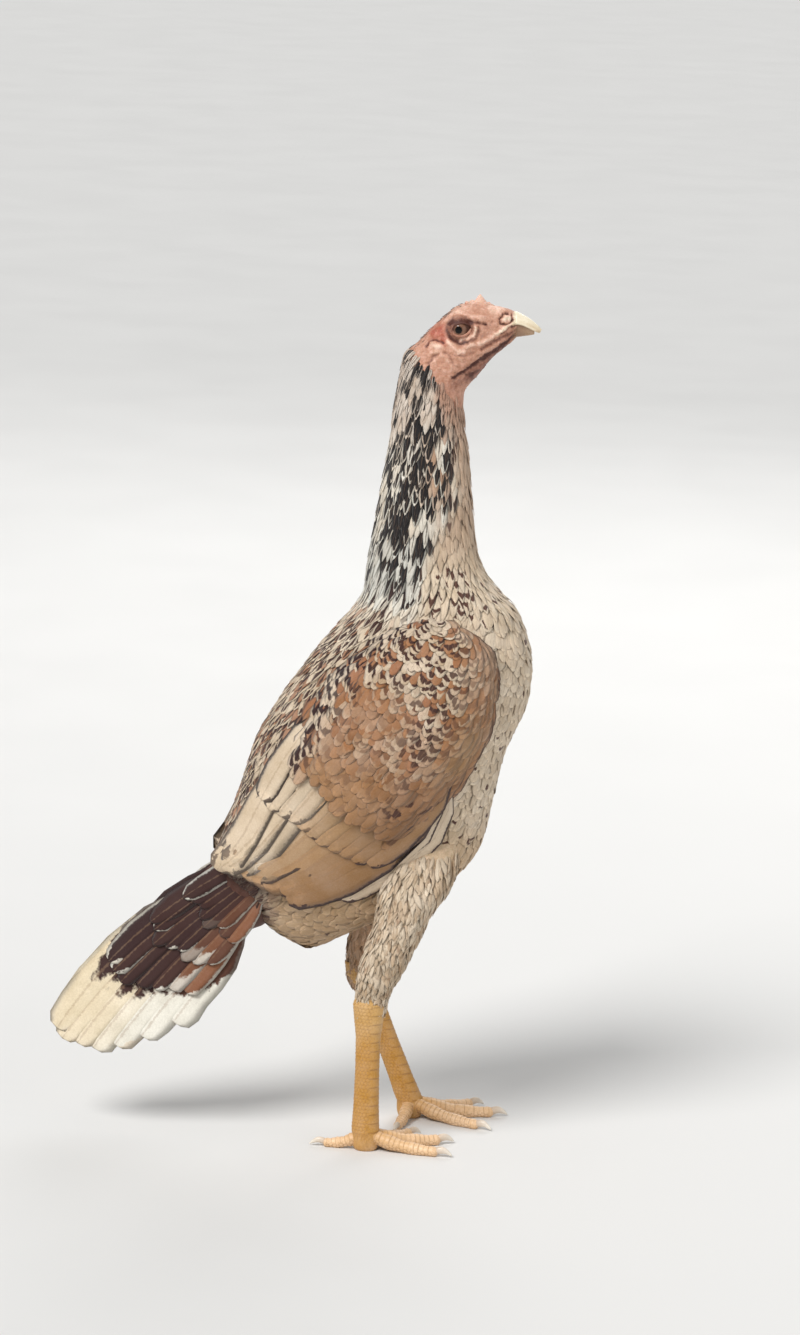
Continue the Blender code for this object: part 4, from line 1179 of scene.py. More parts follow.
@dataclass
class BodyCoat:
    """The contour feathers of the trunk and the hackles of the neck."""

    form: BodyForm
    along: float = 0.0046
    across: float = 0.0043
    seed: int = 7

    def roots(self, draw: Draw) -> Tuple[Array, Array]:
        """Spread roots in staggered rows over the form: section numbers and turns.

        Args:
            draw: The source of variation.

        Returns:
            Section numbers and turns.
        """
        fine = np.linspace(0.25, 26.6, 1200)
        line = self.form.point(fine, np.full_like(fine, 1.9))
        reach = np.concatenate([[0.0], np.cumsum(np.linalg.norm(np.diff(line, axis=0), axis=1))])
        crowd = np.cumsum(np.gradient(reach) / (self.along * (1.0 - 0.42 * ease(fine, 23.4, 25.6))))
        rows = np.interp(np.arange(0.5, crowd[-1]), crowd, fine)
        sections, turns = [], []
        for number, s in enumerate(rows):
            ring = self.form.point(np.full(65, s), np.linspace(0.0, math.tau, 65))
            around = np.linalg.norm(np.diff(ring, axis=0), axis=1).sum()
            gap = self.across * (1.0 - 0.10 * ease(s, 17.0, 21.0) - 0.28 * ease(s, 23.4, 25.6))
            count = max(int(around / gap), 5)
            turn = (np.arange(count) + 0.5 * (number % 2)) / count * math.tau
            sections.append(s + draw.normal(size=count) * 0.06)
            turns.append(turn + draw.normal(size=count) * 0.25 * math.tau / count)
        return np.clip(np.concatenate(sections), 0.1, 26.7), np.concatenate(turns)

    def build(self, bed: Thing) -> List[Thing]:
        """Build the feathers on the bed, in a few pieces.

        Args:
            bed: The skin that they lie on.

        Returns:
            The pieces, in Patchwork's order.
        """
        draw = np.random.default_rng(self.seed)
        s, turn = self.roots(draw)
        place = self.form.point(s, turn)
        normal = self.form.normal(s, turn)
        front = put_front(place[:, 0], place[:, 2])
        bare = s + 0.9 * np.cos(turn) + draw.normal(size=len(s)) * 0.12 > 26.1
        hidden = in_wing(place[:, 0], place[:, 2], 0.24) & (np.abs(normal[:, 1]) > 0.35) & (place[:, 2]
            < 0.345)
        keep = ~(bare | hidden)
        s, turn, place, normal, front = (part[keep] for part in (s, turn, place, normal, front))
        headings = flow(place)
        headings = unit(headings - normal * np.einsum("ij,ij->i", headings, normal)[:, None])
        neck = ease(place[:, 2], 0.352, 0.395)
        nape = ease(s + 0.9 * np.cos(turn), 23.8, 26.0)
        spine = (1.0 - neck) * fall(front, 0.20, 0.42)
        count = len(s)
        lengths = 0.0185 + 0.0065 * neck - 0.0160 * nape + 0.0030 * fall(place[:, 2], 0.18, 0.24)
        lengths *= draw.uniform(0.80, 1.20, count)
        half = (0.0047 - 0.0017 * neck - 0.0018 * nape - 0.0008 * spine) * draw.uniform(0.80, 1.20, count)
        rise = (0.0029 - 0.0002 * neck - 0.0011 * nape) * draw.uniform(0.88, 1.12, count)
        marks = plumage_marks(place, draw)
        patch = unwrapped(turn, s, 27.0)
        kinds = np.where(place[:, 2] > 0.368, 0, np.where(front > 0.42, 1, 2))
        made = []
        for number, kind in enumerate(Patchwork):
            own = kinds == number
            vanes = Vanes(kind.value, Outline.ROUND if kind is Patchwork.BREAST else Outline.POINTED)
            lay = Tract(bed).lay(place[own], headings[own], lengths[own], vanes.places)
            share = np.asarray(vanes.places)[None]
            lift = lying(share, -0.0006, rise[own, None])
            camber = np.full(own.sum(), 11.0) + 16.0 * neck[own]
            made.append(vanes.build(lay, half[own], lift, camber, draw.normal(size=own.sum()) * 0.07,
                marks.chosen(own), patch[own], draw))
        return made


def even_edge(points: Sequence[Tuple[float, float]], count: int = 121) -> Array:
    """Return points at equal distances along a smooth outline.

    Args:
        points: The outline's corners.
        count: How many points to return.

    Returns:
        The points.
    """
    fine = put(points, np.linspace(0.0, len(points) - 1.0, 601))
    reach = np.concatenate([[0.0], np.cumsum(np.linalg.norm(np.diff(fine, axis=0), axis=1))])
    goal = np.linspace(0.0, reach[-1], count)
    return np.stack([np.interp(goal, reach, fine[:, k]) for k in range(2)], 1)


@dataclass
class Sheet:
    """A curved surface that flight feathers are laid on: u from root to tip and v across."""

    side: int

    def point(self, u: Array, v: Array) -> Array:
        """Return the surface's points."""
        raise NotImplementedError

    def directions(self, u: Array, v: Array) -> Tuple[Array, Array, Array, Array]:
        """Return points, the directions across and out of the sheet, and its breadth a unit of v.

        Args:
            u: Places from root to tip.
            v: Places across.

        Returns:
            Points, two sets of directions, and breadths.
        """
        step = 0.01
        onward = unit(self.point(u + step, v) - self.point(u - step, v))
        aside = self.point(u, v + step) - self.point(u, v - step)
        across = unit(aside - onward * np.einsum("...j,...j->...", aside, onward)[..., None])
        out = unit(np.cross(onward, across))
        out = out * np.sign(out[..., 1:2] * self.side)
        return self.point(u, v), across, out, np.linalg.norm(aside, axis=-1) / (2.0 * step)


@dataclass
class WingSheet(Sheet):
    """The outside of one folded wing, just clear of the trunk."""

    standoff: float = 0.0036
    spread: float = 0.0085
    rise: float = 0.0025

    def __post_init__(self) -> None:
        """Measure the two edges once."""
        self.edges = (even_edge(WING_LOWER_EDGE), even_edge(WING_UPPER_EDGE))

    def edge(self, which: int, u: Array) -> Array:
        """Return the points of one edge, carried straight on past its ends.

        Args:
            which: 0 for the lower edge and 1 for the upper.
            u: Places from the shoulder to the tip.

        Returns:
            Points as x, z.
        """
        points = self.edges[which]
        at = np.clip(u, 0.0, 1.0) * (len(points) - 1)
        base = np.stack([np.interp(at, np.arange(len(points)), points[:, k]) for k in range(2)], -1)
        run = (points[-1] - points[-5]) * (len(points) - 1) / 4.0
        return base + np.maximum(u - 1.0, 0.0)[..., None] * run

    def point(self, u: Array, v: Array) -> Array:
        """Return points of the wing's base surface.

        Args:
            u: Places from root to tip.
            v: Places across.

        Returns:
            The points.
        """
        u, v = np.broadcast_arrays(np.asarray(u, float), np.asarray(v, float))
        place = mix(self.edge(0, u), self.edge(1, u), v)
        x, z = place[..., 0], place[..., 1]
        levels = LEVELS[:18]
        back, front, half_width = (np.interp(z, levels[:, 0], levels[:, k]) for k in (1, 2, 3))
        reach = (front - back) / 2.0 + self.spread
        share = np.minimum(np.abs(x - (back + front) / 2.0) / reach, 0.97)
        y = (half_width + self.standoff) * (1.0 - share ** 2.15) ** (1.0 / 2.15) + self.rise * v
        return xyz(x, self.side * y, z)


@dataclass
class TailSheet(Sheet):
    """One side of the tail, held like a roof: v 0 at the ridge and 1 at its lowest feather."""

    root_top: Tuple[float, float] = (-0.1130, 0.1760)
    root_low: Tuple[float, float] = (-0.0930, 0.1490)
    tip: Tuple[float, float] = (-0.2220, 0.0660)
    tip_rise: float = 0.0790
    tip_sag: float = 0.0150
    tip_lift: float = 0.0120
    bow: float = 0.0090
    ridge_y: float = 0.0078
    splay: float = 0.30

    def point(self, u: Array, v: Array) -> Array:
        """Return points of the tail's base surface.

        Args:
            u: Places from root to tip.
            v: Places across.

        Returns:
            The points.
        """
        u, v = np.broadcast_arrays(np.asarray(u, float), np.asarray(v, float))
        root = mix(np.broadcast_to(self.root_top, u.shape + (2,)), self.root_low, v)
        spread = np.clip(v, 0.0, None)
        tip = np.stack([self.tip[0] + self.tip_rise * (spread ** 1.6 + 0.06 * np.minimum(v, 0.0)),
            self.tip[1] + self.tip_lift * v - self.tip_sag * np.sin(math.pi * np.minimum(spread, 1.0))], -1)
        run = tip - root
        bowed = -self.bow * (1.0 - v)[..., None] * unit(np.stack([-run[..., 1], run[..., 0]], -1))
        place = root + run * u[..., None] + bowed * (4.0 * u * (1.0 - u))[..., None]
        ridge = np.array(self.tip) - self.root_top
        ridge = ridge / np.linalg.norm(ridge)
        below = (place - self.root_top) @ np.array([-ridge[1], ridge[0]])
        return xyz(place[..., 0], self.side * (self.ridge_y + self.splay * below), place[..., 1])


@dataclass(frozen=True)
class Tier:
    """One tier of feathers on a sheet: how many, where they root and end, and how they lie."""

    name: str
    count: int
    root: Tuple[float, float]
    tip: Tuple[float, float]
    span: Tuple[float, float]
    width: float
    height: float
    lap: float = 0.0007
    outline: Outline = Outline.FLIGHT
    sink: float = 0.0022
    ragged: float = 0.010


WING_TIERS = (
    Tier("primaries", 5, (0.40, 0.42), (0.76, 0.86), (-0.125, 0.11), 0.0150, -0.0012),
    Tier("secondaries", 9, (0.36, 0.42), (0.84, 1.00), (0.04, 0.95), 0.0270, 0.0008),
    Tier("greater_coverts", 11, (0.352, 0.38), (0.66, 0.74), (0.06, 0.95), 0.0210, 0.0019),
)
TAIL_TIERS = (
    Tier("rectrices", 7, (0.0, 0.0), (1.0, 1.0), (0.0, 1.0), 0.0270, 0.0, -0.0008, ragged=0.018),
    Tier("long_coverts", 7, (-0.06, -0.06), (0.60, 0.66), (-0.03, 0.92), 0.0185, 0.0026, -0.0007, ragged=0.03),
    Tier("short_coverts", 8, (-0.12, -0.12), (0.38, 0.42), (-0.03, 0.92), 0.0165, 0.0046, -0.0006,
         Outline.ROUND, ragged=0.03),
    Tier("root_coverts", 8, (-0.18, -0.18), (0.16, 0.20), (-0.03, 0.95), 0.0150, 0.0062, -0.0006,
         Outline.ROUND, ragged=0.03),
)


@dataclass
class SheetCoat:
    """Feathers in tiers on a sheet, the flight feathers undermost."""

    sheet: Sheet
    gather: float = 0.30

    def tier(self, name: str, tier: Tier, marks: Colouring, patch: Placing, draw: Draw) -> Thing:
        """Build one tier as a mesh.

        Args:
            name: The mesh's name.
            tier: The tier's sizes.
            marks: Gives the feathers' colours from their root's u and v.
            patch: Gives their places on the unwrapped bed.
            draw: The source of variation.

        Returns:
            The mesh object.
        """
        vanes = Vanes(name, tier.outline, thickness=0.00030, shaft=0.00045, fray=0.05)
        share = np.linspace(0.0, 1.0, tier.count)
        v = tier.span[0] + (tier.span[1] - tier.span[0]) * share
        start = tier.root[0] + (tier.root[1] - tier.root[0]) * share
        end = tier.tip[0] + (tier.tip[1] - tier.tip[0]) * share + draw.uniform(-tier.ragged, tier.ragged,
            tier.count)
        place = np.asarray(vanes.places)[None]
        u = start[:, None] + (end - start)[:, None] * place
        drawn_in = self.gather * np.clip(1.0 - place / 0.5, 0.0, 1.0) ** 2
        line = v[:, None] + (0.5 - v[:, None]) * drawn_in
        middle, across, out, breadth = self.sheet.directions(u, line)
        step = (tier.span[1] - tier.span[0]) / (tier.count - 1)
        roll = -tier.lap / (breadth * step * (1.0 - drawn_in))[:, 3]
        lift = tier.height - tier.sink * np.clip(1.0 - place / 0.22, 0.0, 1.0) + np.zeros_like(u)
        lift += draw.normal(size=tier.count)[:, None] * 0.0001
        half = tier.width / 2.0 * draw.uniform(0.93, 1.07, tier.count)
        return vanes.build(Lay(middle, across, out), half, lift, np.full(tier.count, 6.5), roll,
            marks(start, v, draw), patch(start, v), draw)

    def scatter(self, name: str, span: Tuple[float, float], rise: Callable[[Array], Array],
            marks: Colouring, patch: Placing, draw: Draw, gap: Tuple[float, float] = (0.0040, 0.0062),
            length: Tuple[float, float] = (0.0110, 0.0215), half: Tuple[float, float] = (0.0031,
            0.0052)) -> Thing:
        """Build small coverts in staggered rows over the sheet, growing from its root outwards.

        Args:
            name: The mesh's name.
            span: Where on the sheet the first and the last row root.
            rise: Gives how high their bed stands over the sheet.
            marks: Gives the feathers' colours.
            patch: Gives their places on the unwrapped bed.
            draw: The source of variation.
            gap: Distance between feathers in the first and the last row.
            length: Feather length there.
            half: Half width there.

        Returns:
            The mesh object.
        """
        roots: List[Tuple[float, float]] = []
        u, number = span[0], 0
        while u < span[1]:
            wide = float(np.linalg.norm(self.sheet.point(u, 1.0) - self.sheet.point(u, 0.0)))
            step = float(np.interp(u, span, gap))
            count = max(int(wide * 1.30 / step), 4)
            roots.extend((u, (k + 0.5 * (number % 2)) / count) for k in range(count))
            u, number = u + step * 0.92 / 0.235, number + 1
        start, v = np.array(roots).T
        start = start + draw.normal(size=len(v)) * 0.006
        v = v + draw.normal(size=len(v)) * 0.009
        vanes = Vanes(name, Outline.ROUND, fray=0.11)
        place = np.asarray(vanes.places)[None]
        lengths = np.interp(start, span, length) * draw.uniform(0.82, 1.2, len(v))
        u = start[:, None] + lengths[:, None] / 0.235 * place
        middle, across, out, _ = self.sheet.directions(u, v[:, None] + 0.0 * u)
        lift = rise(u) + lying(place, -0.0014, 0.0014)
        crown = 1.0 - np.abs(2.0 * np.clip(v, 0.0, 1.0) - 1.0) ** 5
        lift = lift * crown[:, None] - 0.0022 * (1.0 - crown)[:, None]
        wide = np.interp(start, span, half) * draw.uniform(0.80, 1.20, len(v))
        return vanes.build(Lay(middle, across, out), wide, lift, np.full(len(v), 14.0),
            draw.normal(size=len(v)) * 0.05, marks(start, v, draw), patch(start, v), draw)


def covert_bed(u: Array) -> Array:
    """Return how high the small coverts' bed stands over the wing's sheet."""
    return np.interp(u, [0.0, 0.02, 0.08, 0.20, 0.34, 0.50, 0.66, 0.80], [0.0, 0.0052, 0.0076, 0.0074,
        0.0064, 0.0050, 0.0036, 0.0030])


def wing_flesh(u: Array) -> Array:
    """Return how far the wing's flesh stands over its sheet."""
    u = np.asarray(u, float)
    return 0.0076 * np.minimum(1.0, np.sqrt(np.maximum(u, 0.0) / 0.08)) - 0.0165 * np.maximum(u - 0.08, 0.0)


@dataclass
class Wing:
    """One folded wing: its flesh, small coverts, a tier of greater coverts, secondaries and primaries."""

    side: int
    seed: int = 21

    def flesh(self) -> Thing:
        """Build the shoulder and forearm under the feathers.

        Returns:
            The flesh, painted.
        """
        sheet = WingSheet(self.side)
        u, v = np.meshgrid(np.linspace(0.015, 0.56, 24), np.linspace(0.0, 1.0, 19), indexing="ij")
        middle, _, out, _ = sheet.directions(u, v)
        crown = 1.0 - np.abs(2.0 * v - 1.0) ** 5
        top = middle + out * ((wing_flesh(u) - 0.0010) * crown - 0.0085 * (1.0 - crown))[..., None]
        low = middle - out * (0.0190 - 0.0150 * u / 0.56 + 0.0060 * (1.0 - crown))[..., None]
        grid = np.concatenate([top, low[:, ::-1]], 1)
        made = skinned(f"wing_flesh_{SIDE_NAMES[self.side]}", grid)
        return in_one_colour(made, Tint.TAN)

    def coverts(self, u: Array, v: Array, draw: Draw) -> Marks:
        """Colour the small coverts: speckled at the shoulder and along the back, tan and brown below.

        Args:
            u: Their roots' places from the shoulder to the tip.
            v: Their roots' places from the lower edge to the upper.
            draw: The source of variation.

        Returns:
            Their colours.
        """
        chance = draw.random((6, len(u)))
        place = WingSheet(self.side).point(u, v)
        patchy = lump(place, 0.0080, 3.0)
        small = lump(place, 0.0042, 17.0)
        upper = ease(v, 0.72, 0.92)
        bars = zone(u, v, (0.30, 0.36), (0.085, 0.13))
        speckle = np.clip(fall(u, 0.18, 0.30) * (0.30 + 0.70 * ease(v, 0.15, 0.45)) + 0.95 * upper + bars
            + 0.30 * zone(u, v, (0.36, 0.62), (0.07, 0.16)), 0.0, 1.0)
        brown = zone(u, v, (0.46, 0.18), (0.12, 0.18))
        gold = np.clip(0.25 + 0.75 * zone(u, v, (0.29, 0.13), (0.09, 0.10)) + 0.35 * ease(u, 0.38, 0.48),
            0.0, 1.0)
        rusty = 0.60 * speckle * (chance[0] > 0.50) + 0.35 * zone(u, v, (0.38, 0.72), (0.14, 0.16))
        ground = layered(Tint.TAN, (Tint.CHESTNUT, rusty), (Tint.GOLD, gold * (1.0 - speckle)),
            (Tint.PALE, speckle * (1.0 - 0.5 * bars) * (patchy > 0.52) * 0.85), (Tint.UMBER, brown * 0.50))
        ground = ground * (0.90 + 0.20 * chance[4][:, None])
        mark = mix(Tint.BROWN, Tint.MAROON, 0.35 + 0.65 * upper)
        streak = upper * (small > 0.45) * (0.45 + 0.45 * chance[1])
        bar = np.clip(speckle * (0.5 * small + 0.5 * chance[3] > 0.40 - 0.12 * bars) + np.maximum(brown,
            0.5 * gold * (u > 0.33)) * (chance[3] > 0.66), 0.0, 1.0)
        tip = np.clip(speckle * (1.0 - 0.6 * bars) * (0.5 * small + 0.5 * chance[2] > 0.46) * 0.95, 0.0, 1.0)
        # The dark line along the wing's lowest edge, against the breast, is painted shade; some upper coverts
        # also get dark edges.
        edge = np.maximum(upper * 0.35 * (chance[5] > 0.4), 0.75 * ease(0.06 - v, 0.0, 0.05))
        shade = mix(Tint.PALE, Tint.CREAM, chance[0])
        return Marks(ground, mark, with_start(shade, 0.84), np.stack([streak, bar, tip, edge], 1))

    def quills(self, u: Array, v: Array, draw: Draw) -> Marks:
        """Colour the long feathers: beige, cream with dark edges at the top, pale at the lower edge, each with
        a faint dark edge of painted shade.

        Args:
            u: Their roots' places from the shoulder to the tip.
            v: Their roots' places from the lower edge to the upper.
            draw: The source of variation.

        Returns:
            Their colours.
        """
        count = len(u)
        chance = draw.random((3, count))
        large = ease(v, 0.58, 0.74)
        ground = layered(Tint.GOLD, (Tint.UMBER, 0.30 * fall(v, 0.15, 0.45)),
            (Tint.CREAM, 0.45 * ease(v, 0.35, 0.60)), (Tint.PANEL, large), (Tint.PALE, fall(v, -0.02, 0.03)
            * 0.80))
        ground = ground * (0.92 + 0.16 * chance[0][:, None])
        mark = mix(Tint.BROWN, Tint.MAROON, 0.35 + 0.65 * large)
        # A faint dark edge, 0.28, on every feather is painted shade between the feathers; stronger dark edges
        # are added on the large upper feathers, the lowest ones and some in the middle.
        edge = np.clip(0.28 + 0.75 * large * (0.5 + 0.5 * chance[1]) + fall(v, 0.10, 0.22) + 0.55 * zone(v,
            v, (0.50, 0.50), (0.16, 0.16)) * (chance[2] > 0.4), 0.0, 1.0)
        zero = np.zeros(count)
        return Marks(ground, mark, with_start(ground), np.stack([zero, zero, zero, edge], 1))

    def patch(self, u: Array, v: Array) -> Array:
        """Place feathers' roots on the unwrapped wing."""
        return np.stack([0.05 + 0.9 * np.clip(u, 0.0, 1.0), 0.12 + 0.8 * np.clip(v, -0.1, 1.0)], 1)

    def build(self) -> List[Thing]:
        """Build every tier and the small coverts.

        Returns:
            The pieces.
        """
        draw = np.random.default_rng(self.seed + self.side)
        coat = SheetCoat(WingSheet(self.side))
        word = SIDE_NAMES[self.side]
        made = [coat.tier(f"wing_{tier.name}_{word}", tier, self.quills, self.patch, draw)
            for tier in WING_TIERS]
        made.append(coat.scatter(f"wing_small_coverts_{word}", (0.0, 0.52), covert_bed, self.coverts,
            self.patch, draw))
        return made


@dataclass
class Tail:
    """The tail: its flight feathers on both sides and three tiers of coverts."""

    seed: int = 31

    def __post_init__(self) -> None:
        """Say how each side's roots lie on the unwrapped tail."""
        self.patches = {side: partial(self.patch, side) for side in (-1, 1)}

    def patch(self, side: int, u: Array, v: Array) -> Array:
        """Place feathers' roots on the unwrapped tail, one side on each half."""
        return np.stack([0.3 + 0.6 * np.clip(u, -0.3, 1.0), 0.5 + side * (0.05 + 0.4 * np.clip(v, 0.0,
            1.0))], 1)

    def quills(self, _: Array, v: Array, draw: Draw) -> Marks:
        """Colour the flight feathers: dark at the root and white at the end.

        Args:
            v: Their roots' places from the ridge to the lowest feather.
            draw: The source of variation.

        Returns:
            Their colours.
        """
        chance = draw.random((3, len(v)))
        low = ease(v, 0.45, 0.95)
        return self.toned(v, chance, low, 0.6, 0.20 + 0.65 * (chance[1] > 0.45), np.ones(len(v)),
            0.70 - 0.07 * v + 0.05 * (chance[0] - 0.5))

    def coverts(self, _: Array, v: Array, draw: Draw) -> Marks:
        """Colour the coverts: dark, a few with white edges or ends.

        Args:
            v: Their roots' places from the ridge to the lowest feather.
            draw: The source of variation.

        Returns:
            Their colours.
        """
        chance = draw.random((3, len(v)))
        low = ease(v, 0.45, 0.95)
        return self.toned(v, chance, low, 1.0, (chance[2] > 0.62) * 0.85, (chance[1] > 0.72) * 0.9 * low,
            0.84)

    def toned(self, v: Array, chance: Array, low: Array, rust: float, edge: Array, tip: Array,
            start: object) -> Marks:
        """Tone feathers from maroon at the ridge to chestnut below.

        Args:
            v: Their roots' places from the ridge to the lowest feather.
            chance: Three random numbers for each.
            low: How low each is.
            rust: How strong the chestnut is.
            edge: How strong the white edges are.
            tip: How strong the tips are.
            start: Where along the feather the tips start.

        Returns:
            Their colours.
        """
        ground = layered(Tint.MAROON, (Tint.BROWN, np.clip(0.25 * chance[0] + 0.75 * low, 0.0, 1.0)),
            (Tint.CHESTNUT, low * (0.15 + (chance[1] > 0.5) * 0.45) * rust))
        shade = mix(Tint.TAIL_TIP, Tint.WHITE, ease(v, 0.25, 0.75))
        zero = np.zeros(len(v))
        return Marks(ground, mix(Tint.PALE, Tint.WHITE, chance[2]), with_start(shade, start),
            np.stack([zero, zero, tip, edge], 1))

    def build(self) -> List[Thing]:
        """Build the tail's tiers, each with its right and left feathers in a mesh of its own.

        Returns:
            The pieces.
        """
        made = []
        for side in (-1, 1):
            draw = np.random.default_rng(self.seed + side)
            coat = SheetCoat(TailSheet(side))
            for tier in TAIL_TIERS:
                marks = self.quills if tier.name == "rectrices" else self.coverts
                made.append(coat.tier(f"tail_{tier.name}_{SIDE_NAMES[side]}", tier, marks,
                    self.patches[side], draw))
        return made

    def flesh(self) -> Thing:
        """Build the flesh that the tail's feathers grow from.

        Returns:
            The flesh, painted.
        """
        sheet = TailSheet(1)
        turn = round_turn(28)
        rows = put(((-0.34, 0.0240, 0.0150), (-0.16, 0.0230, 0.0140), (-0.04, 0.0195, 0.0115),
            (0.06, 0.0140, 0.0075), (0.15, 0.0085, 0.0035), (0.22, 0.0034, 0.0006)), np.linspace(0.0, 5.0,
            18))
        grid = []
        for u, wide, margin in rows:
            top, low = sheet.point(u, 0.0), sheet.point(u, 1.0)
            top[1] = low[1] = 0.0
            beyond = unit(top - low) * margin
            middle, half = (top + low) / 2.0, (top - low) / 2.0 + beyond
            grid.append(middle + half * np.cos(turn)[:, None] + xyz(0.0, wide * np.sin(turn), 0.0))
        return in_one_colour(skinned("tail_flesh", np.array(grid)), Tint.BROWN)


@dataclass
class ThighCoat:
    """The soft feathers of one thigh, down to the hock."""

    side: int
    seed: int = 41

    def build(self, bed: Thing) -> Thing:
        """Build the feathers on the bed.

        Args:
            bed: The thigh's skin.

        Returns:
            The piece.
        """
        draw = np.random.default_rng(self.seed + self.side)
        rows = THIGHS[self.side]
        places, turns = [], []
        lowest = 0.0985 if self.side < 0 else 0.0940
        for number, z in enumerate(np.arange(lowest, 0.205, 0.0031)):
            at = np.interp(z, rows[:, 0], np.arange(len(rows)))
            row = put(rows, np.array([at]))[0]
            deep, wide = (row[2] - row[1]) / 2.0, row[4]
            around = math.tau * math.sqrt((deep ** 2 + wide ** 2) / 2.0)
            count = int(around / 0.0029)
            turn = (np.arange(count) + 0.5 * (number % 2)) / count * math.tau + draw.normal(size=count) * 0.08
            places.append(xyz((row[1] + row[2]) / 2.0 + deep * np.cos(turn), row[3] + wide * np.sin(turn),
                z + draw.normal(size=count) * 0.0008))
            turns.append(turn)
        place = np.concatenate(places)
        turn = np.concatenate(turns)
        count = len(place)
        outward = xyz(np.cos(turn), np.sin(turn), 0.0)
        headings = unit(np.array([-0.10, 0.0, -1.0]) + outward * 0.05 + draw.normal(size=(count, 3)) * 0.20)
        low = fall(place[:, 2], 0.104, 0.135)
        lengths = (0.0130 - 0.0050 * low) * draw.uniform(0.7, 1.25, count)
        lengths = np.minimum(lengths, np.maximum(place[:, 2] - (lowest - 0.0085), 0.004))
        vanes = Vanes(f"thigh_feathers_{SIDE_NAMES[self.side]}", Outline.POINTED, fray=0.22)
        lay = Tract(bed).lay(place, headings, lengths, vanes.places)
        share = np.asarray(vanes.places)[None]
        lift = lying(share, -0.0005, (0.0019 - 0.0006 * low)[:, None] * draw.uniform(0.75, 1.35, (count, 1)))
        chance = draw.random((3, count))
        soft = lump(place, 0.0055, 5.0)
        # The left thigh, on the far side, is tinted tan as painted shade.
        ground = layered(Tint.BUFF, (Tint.PALE, 0.30 + 0.65 * soft), (Tint.TAN, (self.side > 0) * 0.55))
        spot = (0.5 * soft + 0.5 * chance[1] < 0.16) * 0.45
        zero = np.zeros(count)
        marks = Marks(ground * (0.9 + 0.2 * chance[2][:, None]), plain(np.array(Tint.CHESTNUT) * 0.6,
            count), with_start(plain(Tint.PALE, count)), np.stack([zero, spot, zero, zero], 1))
        patch = unwrapped(turn, place[:, 2] - 0.09, 0.13)
        return vanes.build(lay, 0.0019 * draw.uniform(0.70, 1.30, count) * (1.0 - 0.25 * low), lift,
            np.full(count, 26.0), draw.normal(size=count) * 0.15, marks, patch, draw)


def ring_faces(rings: int, sides: int) -> Array:
    """Return the faces of a tube that closes on itself.

    Args:
        rings: How many rings it has.
        sides: How many points a ring has.

    Returns:
        Rows of point numbers.
    """
    near = np.arange(rings)[:, None] * sides + np.arange(sides)
    after = np.arange(rings)[:, None] * sides + (np.arange(sides) + 1) % sides
    size = rings * sides
    wall = np.stack([near, after, (after + sides) % size, (near + sides) % size], -1)
    return wall.reshape(-1, 4)


@dataclass
class Bill:
    """The horn of the hooked upper bill and of the lower bill; the skin behind it holds the nostrils."""

    rings: int = 90
    sides: int = 60
    buried: float = 0.0016

    def arch(self, table: Array) -> Array:
        """Return rings that are arched from a flat base to a crest.

        Args:
            table: The bill's sections.

        Returns:
            Points by ring and side.
        """
        place = np.linspace(0.0, len(table) - 1.0, self.rings)
        row = put(table, place)
        crest, base = xyz(row[:, 0], 0.0, row[:, 1]), xyz(row[:, 2], 0.0, row[:, 3])
        step_back = unit(crest[:1] - crest[1:2]) * self.buried
        crest[0] += step_back[0]
        base[0] += step_back[0]
        upper = math.pi * np.arange(self.sides * 3 // 4) / (self.sides * 3 // 4 - 1)
        flat = np.linspace(-0.94, 0.94, self.sides // 4)
        rise = np.concatenate([np.sin(upper) ** 0.85, 0.09 * (1.0 - flat ** 2)])
        aside = np.concatenate([np.cos(upper) * (1.0 - 0.10 * np.sin(upper) ** 2), flat])
        grid = base[:, None] + (crest - base)[:, None] * rise[None, :, None]
        grid[:, :, 1] += row[:, 4][:, None] * aside[None]
        return grid

    def upper(self) -> Thing:
        """Build the upper bill.

        Returns:
            The piece.
        """
        grid = self.arch(UPPER_BILL)
        x, z = grid[..., 0], grid[..., 2]
        side = ease(np.abs(grid[..., 1]), 0.0015, 0.0040)[..., None]
        outward = unit(xyz(0.0, np.sign(grid[..., 1]), 0.25)) * side
        buried = fall(x, 0.0652, 0.0680)
        grid[..., 1] *= 1.0 - 0.28 * buried
        grid[..., 2] -= 0.0010 * buried * ease(z, 0.5520, 0.5560)
        # A raised ridge along the cutting edge, with a painted highlight in the pale edge tint.
        cutting = Fold((64, 551.0, 68, 551.8, 74, 549.9, 80, 547.0), 1.0, 0.45)
        grid = grid + outward * (cutting.nearness(x, z) * cutting.height / 1000.0)[..., None]
        made = skinned("bill_upper", grid)
        places = coordinates(made)
        near = cutting.nearness(places[:, 0], places[:, 2])
        return in_colours(made, mix(horn_colour(places)[0], Tint.HORN_EDGE, near * 0.7))

    def lower(self) -> Thing:
        """Build the lower bill.

        Returns:
            The piece.
        """
        grid = self.arch(LOWER_BILL[:, [2, 3, 0, 1, 4]])
        made = skinned("bill_lower", grid)
        # Dark brown, partly painted shade under the upper bill, lightening to the tip.
        return in_colours(made, mix(Tint.LOWER_HORN_AND_SHADE, Tint.LOWER_TIP, ease(coordinates(made)[:, 0],
            0.068, 0.079)))


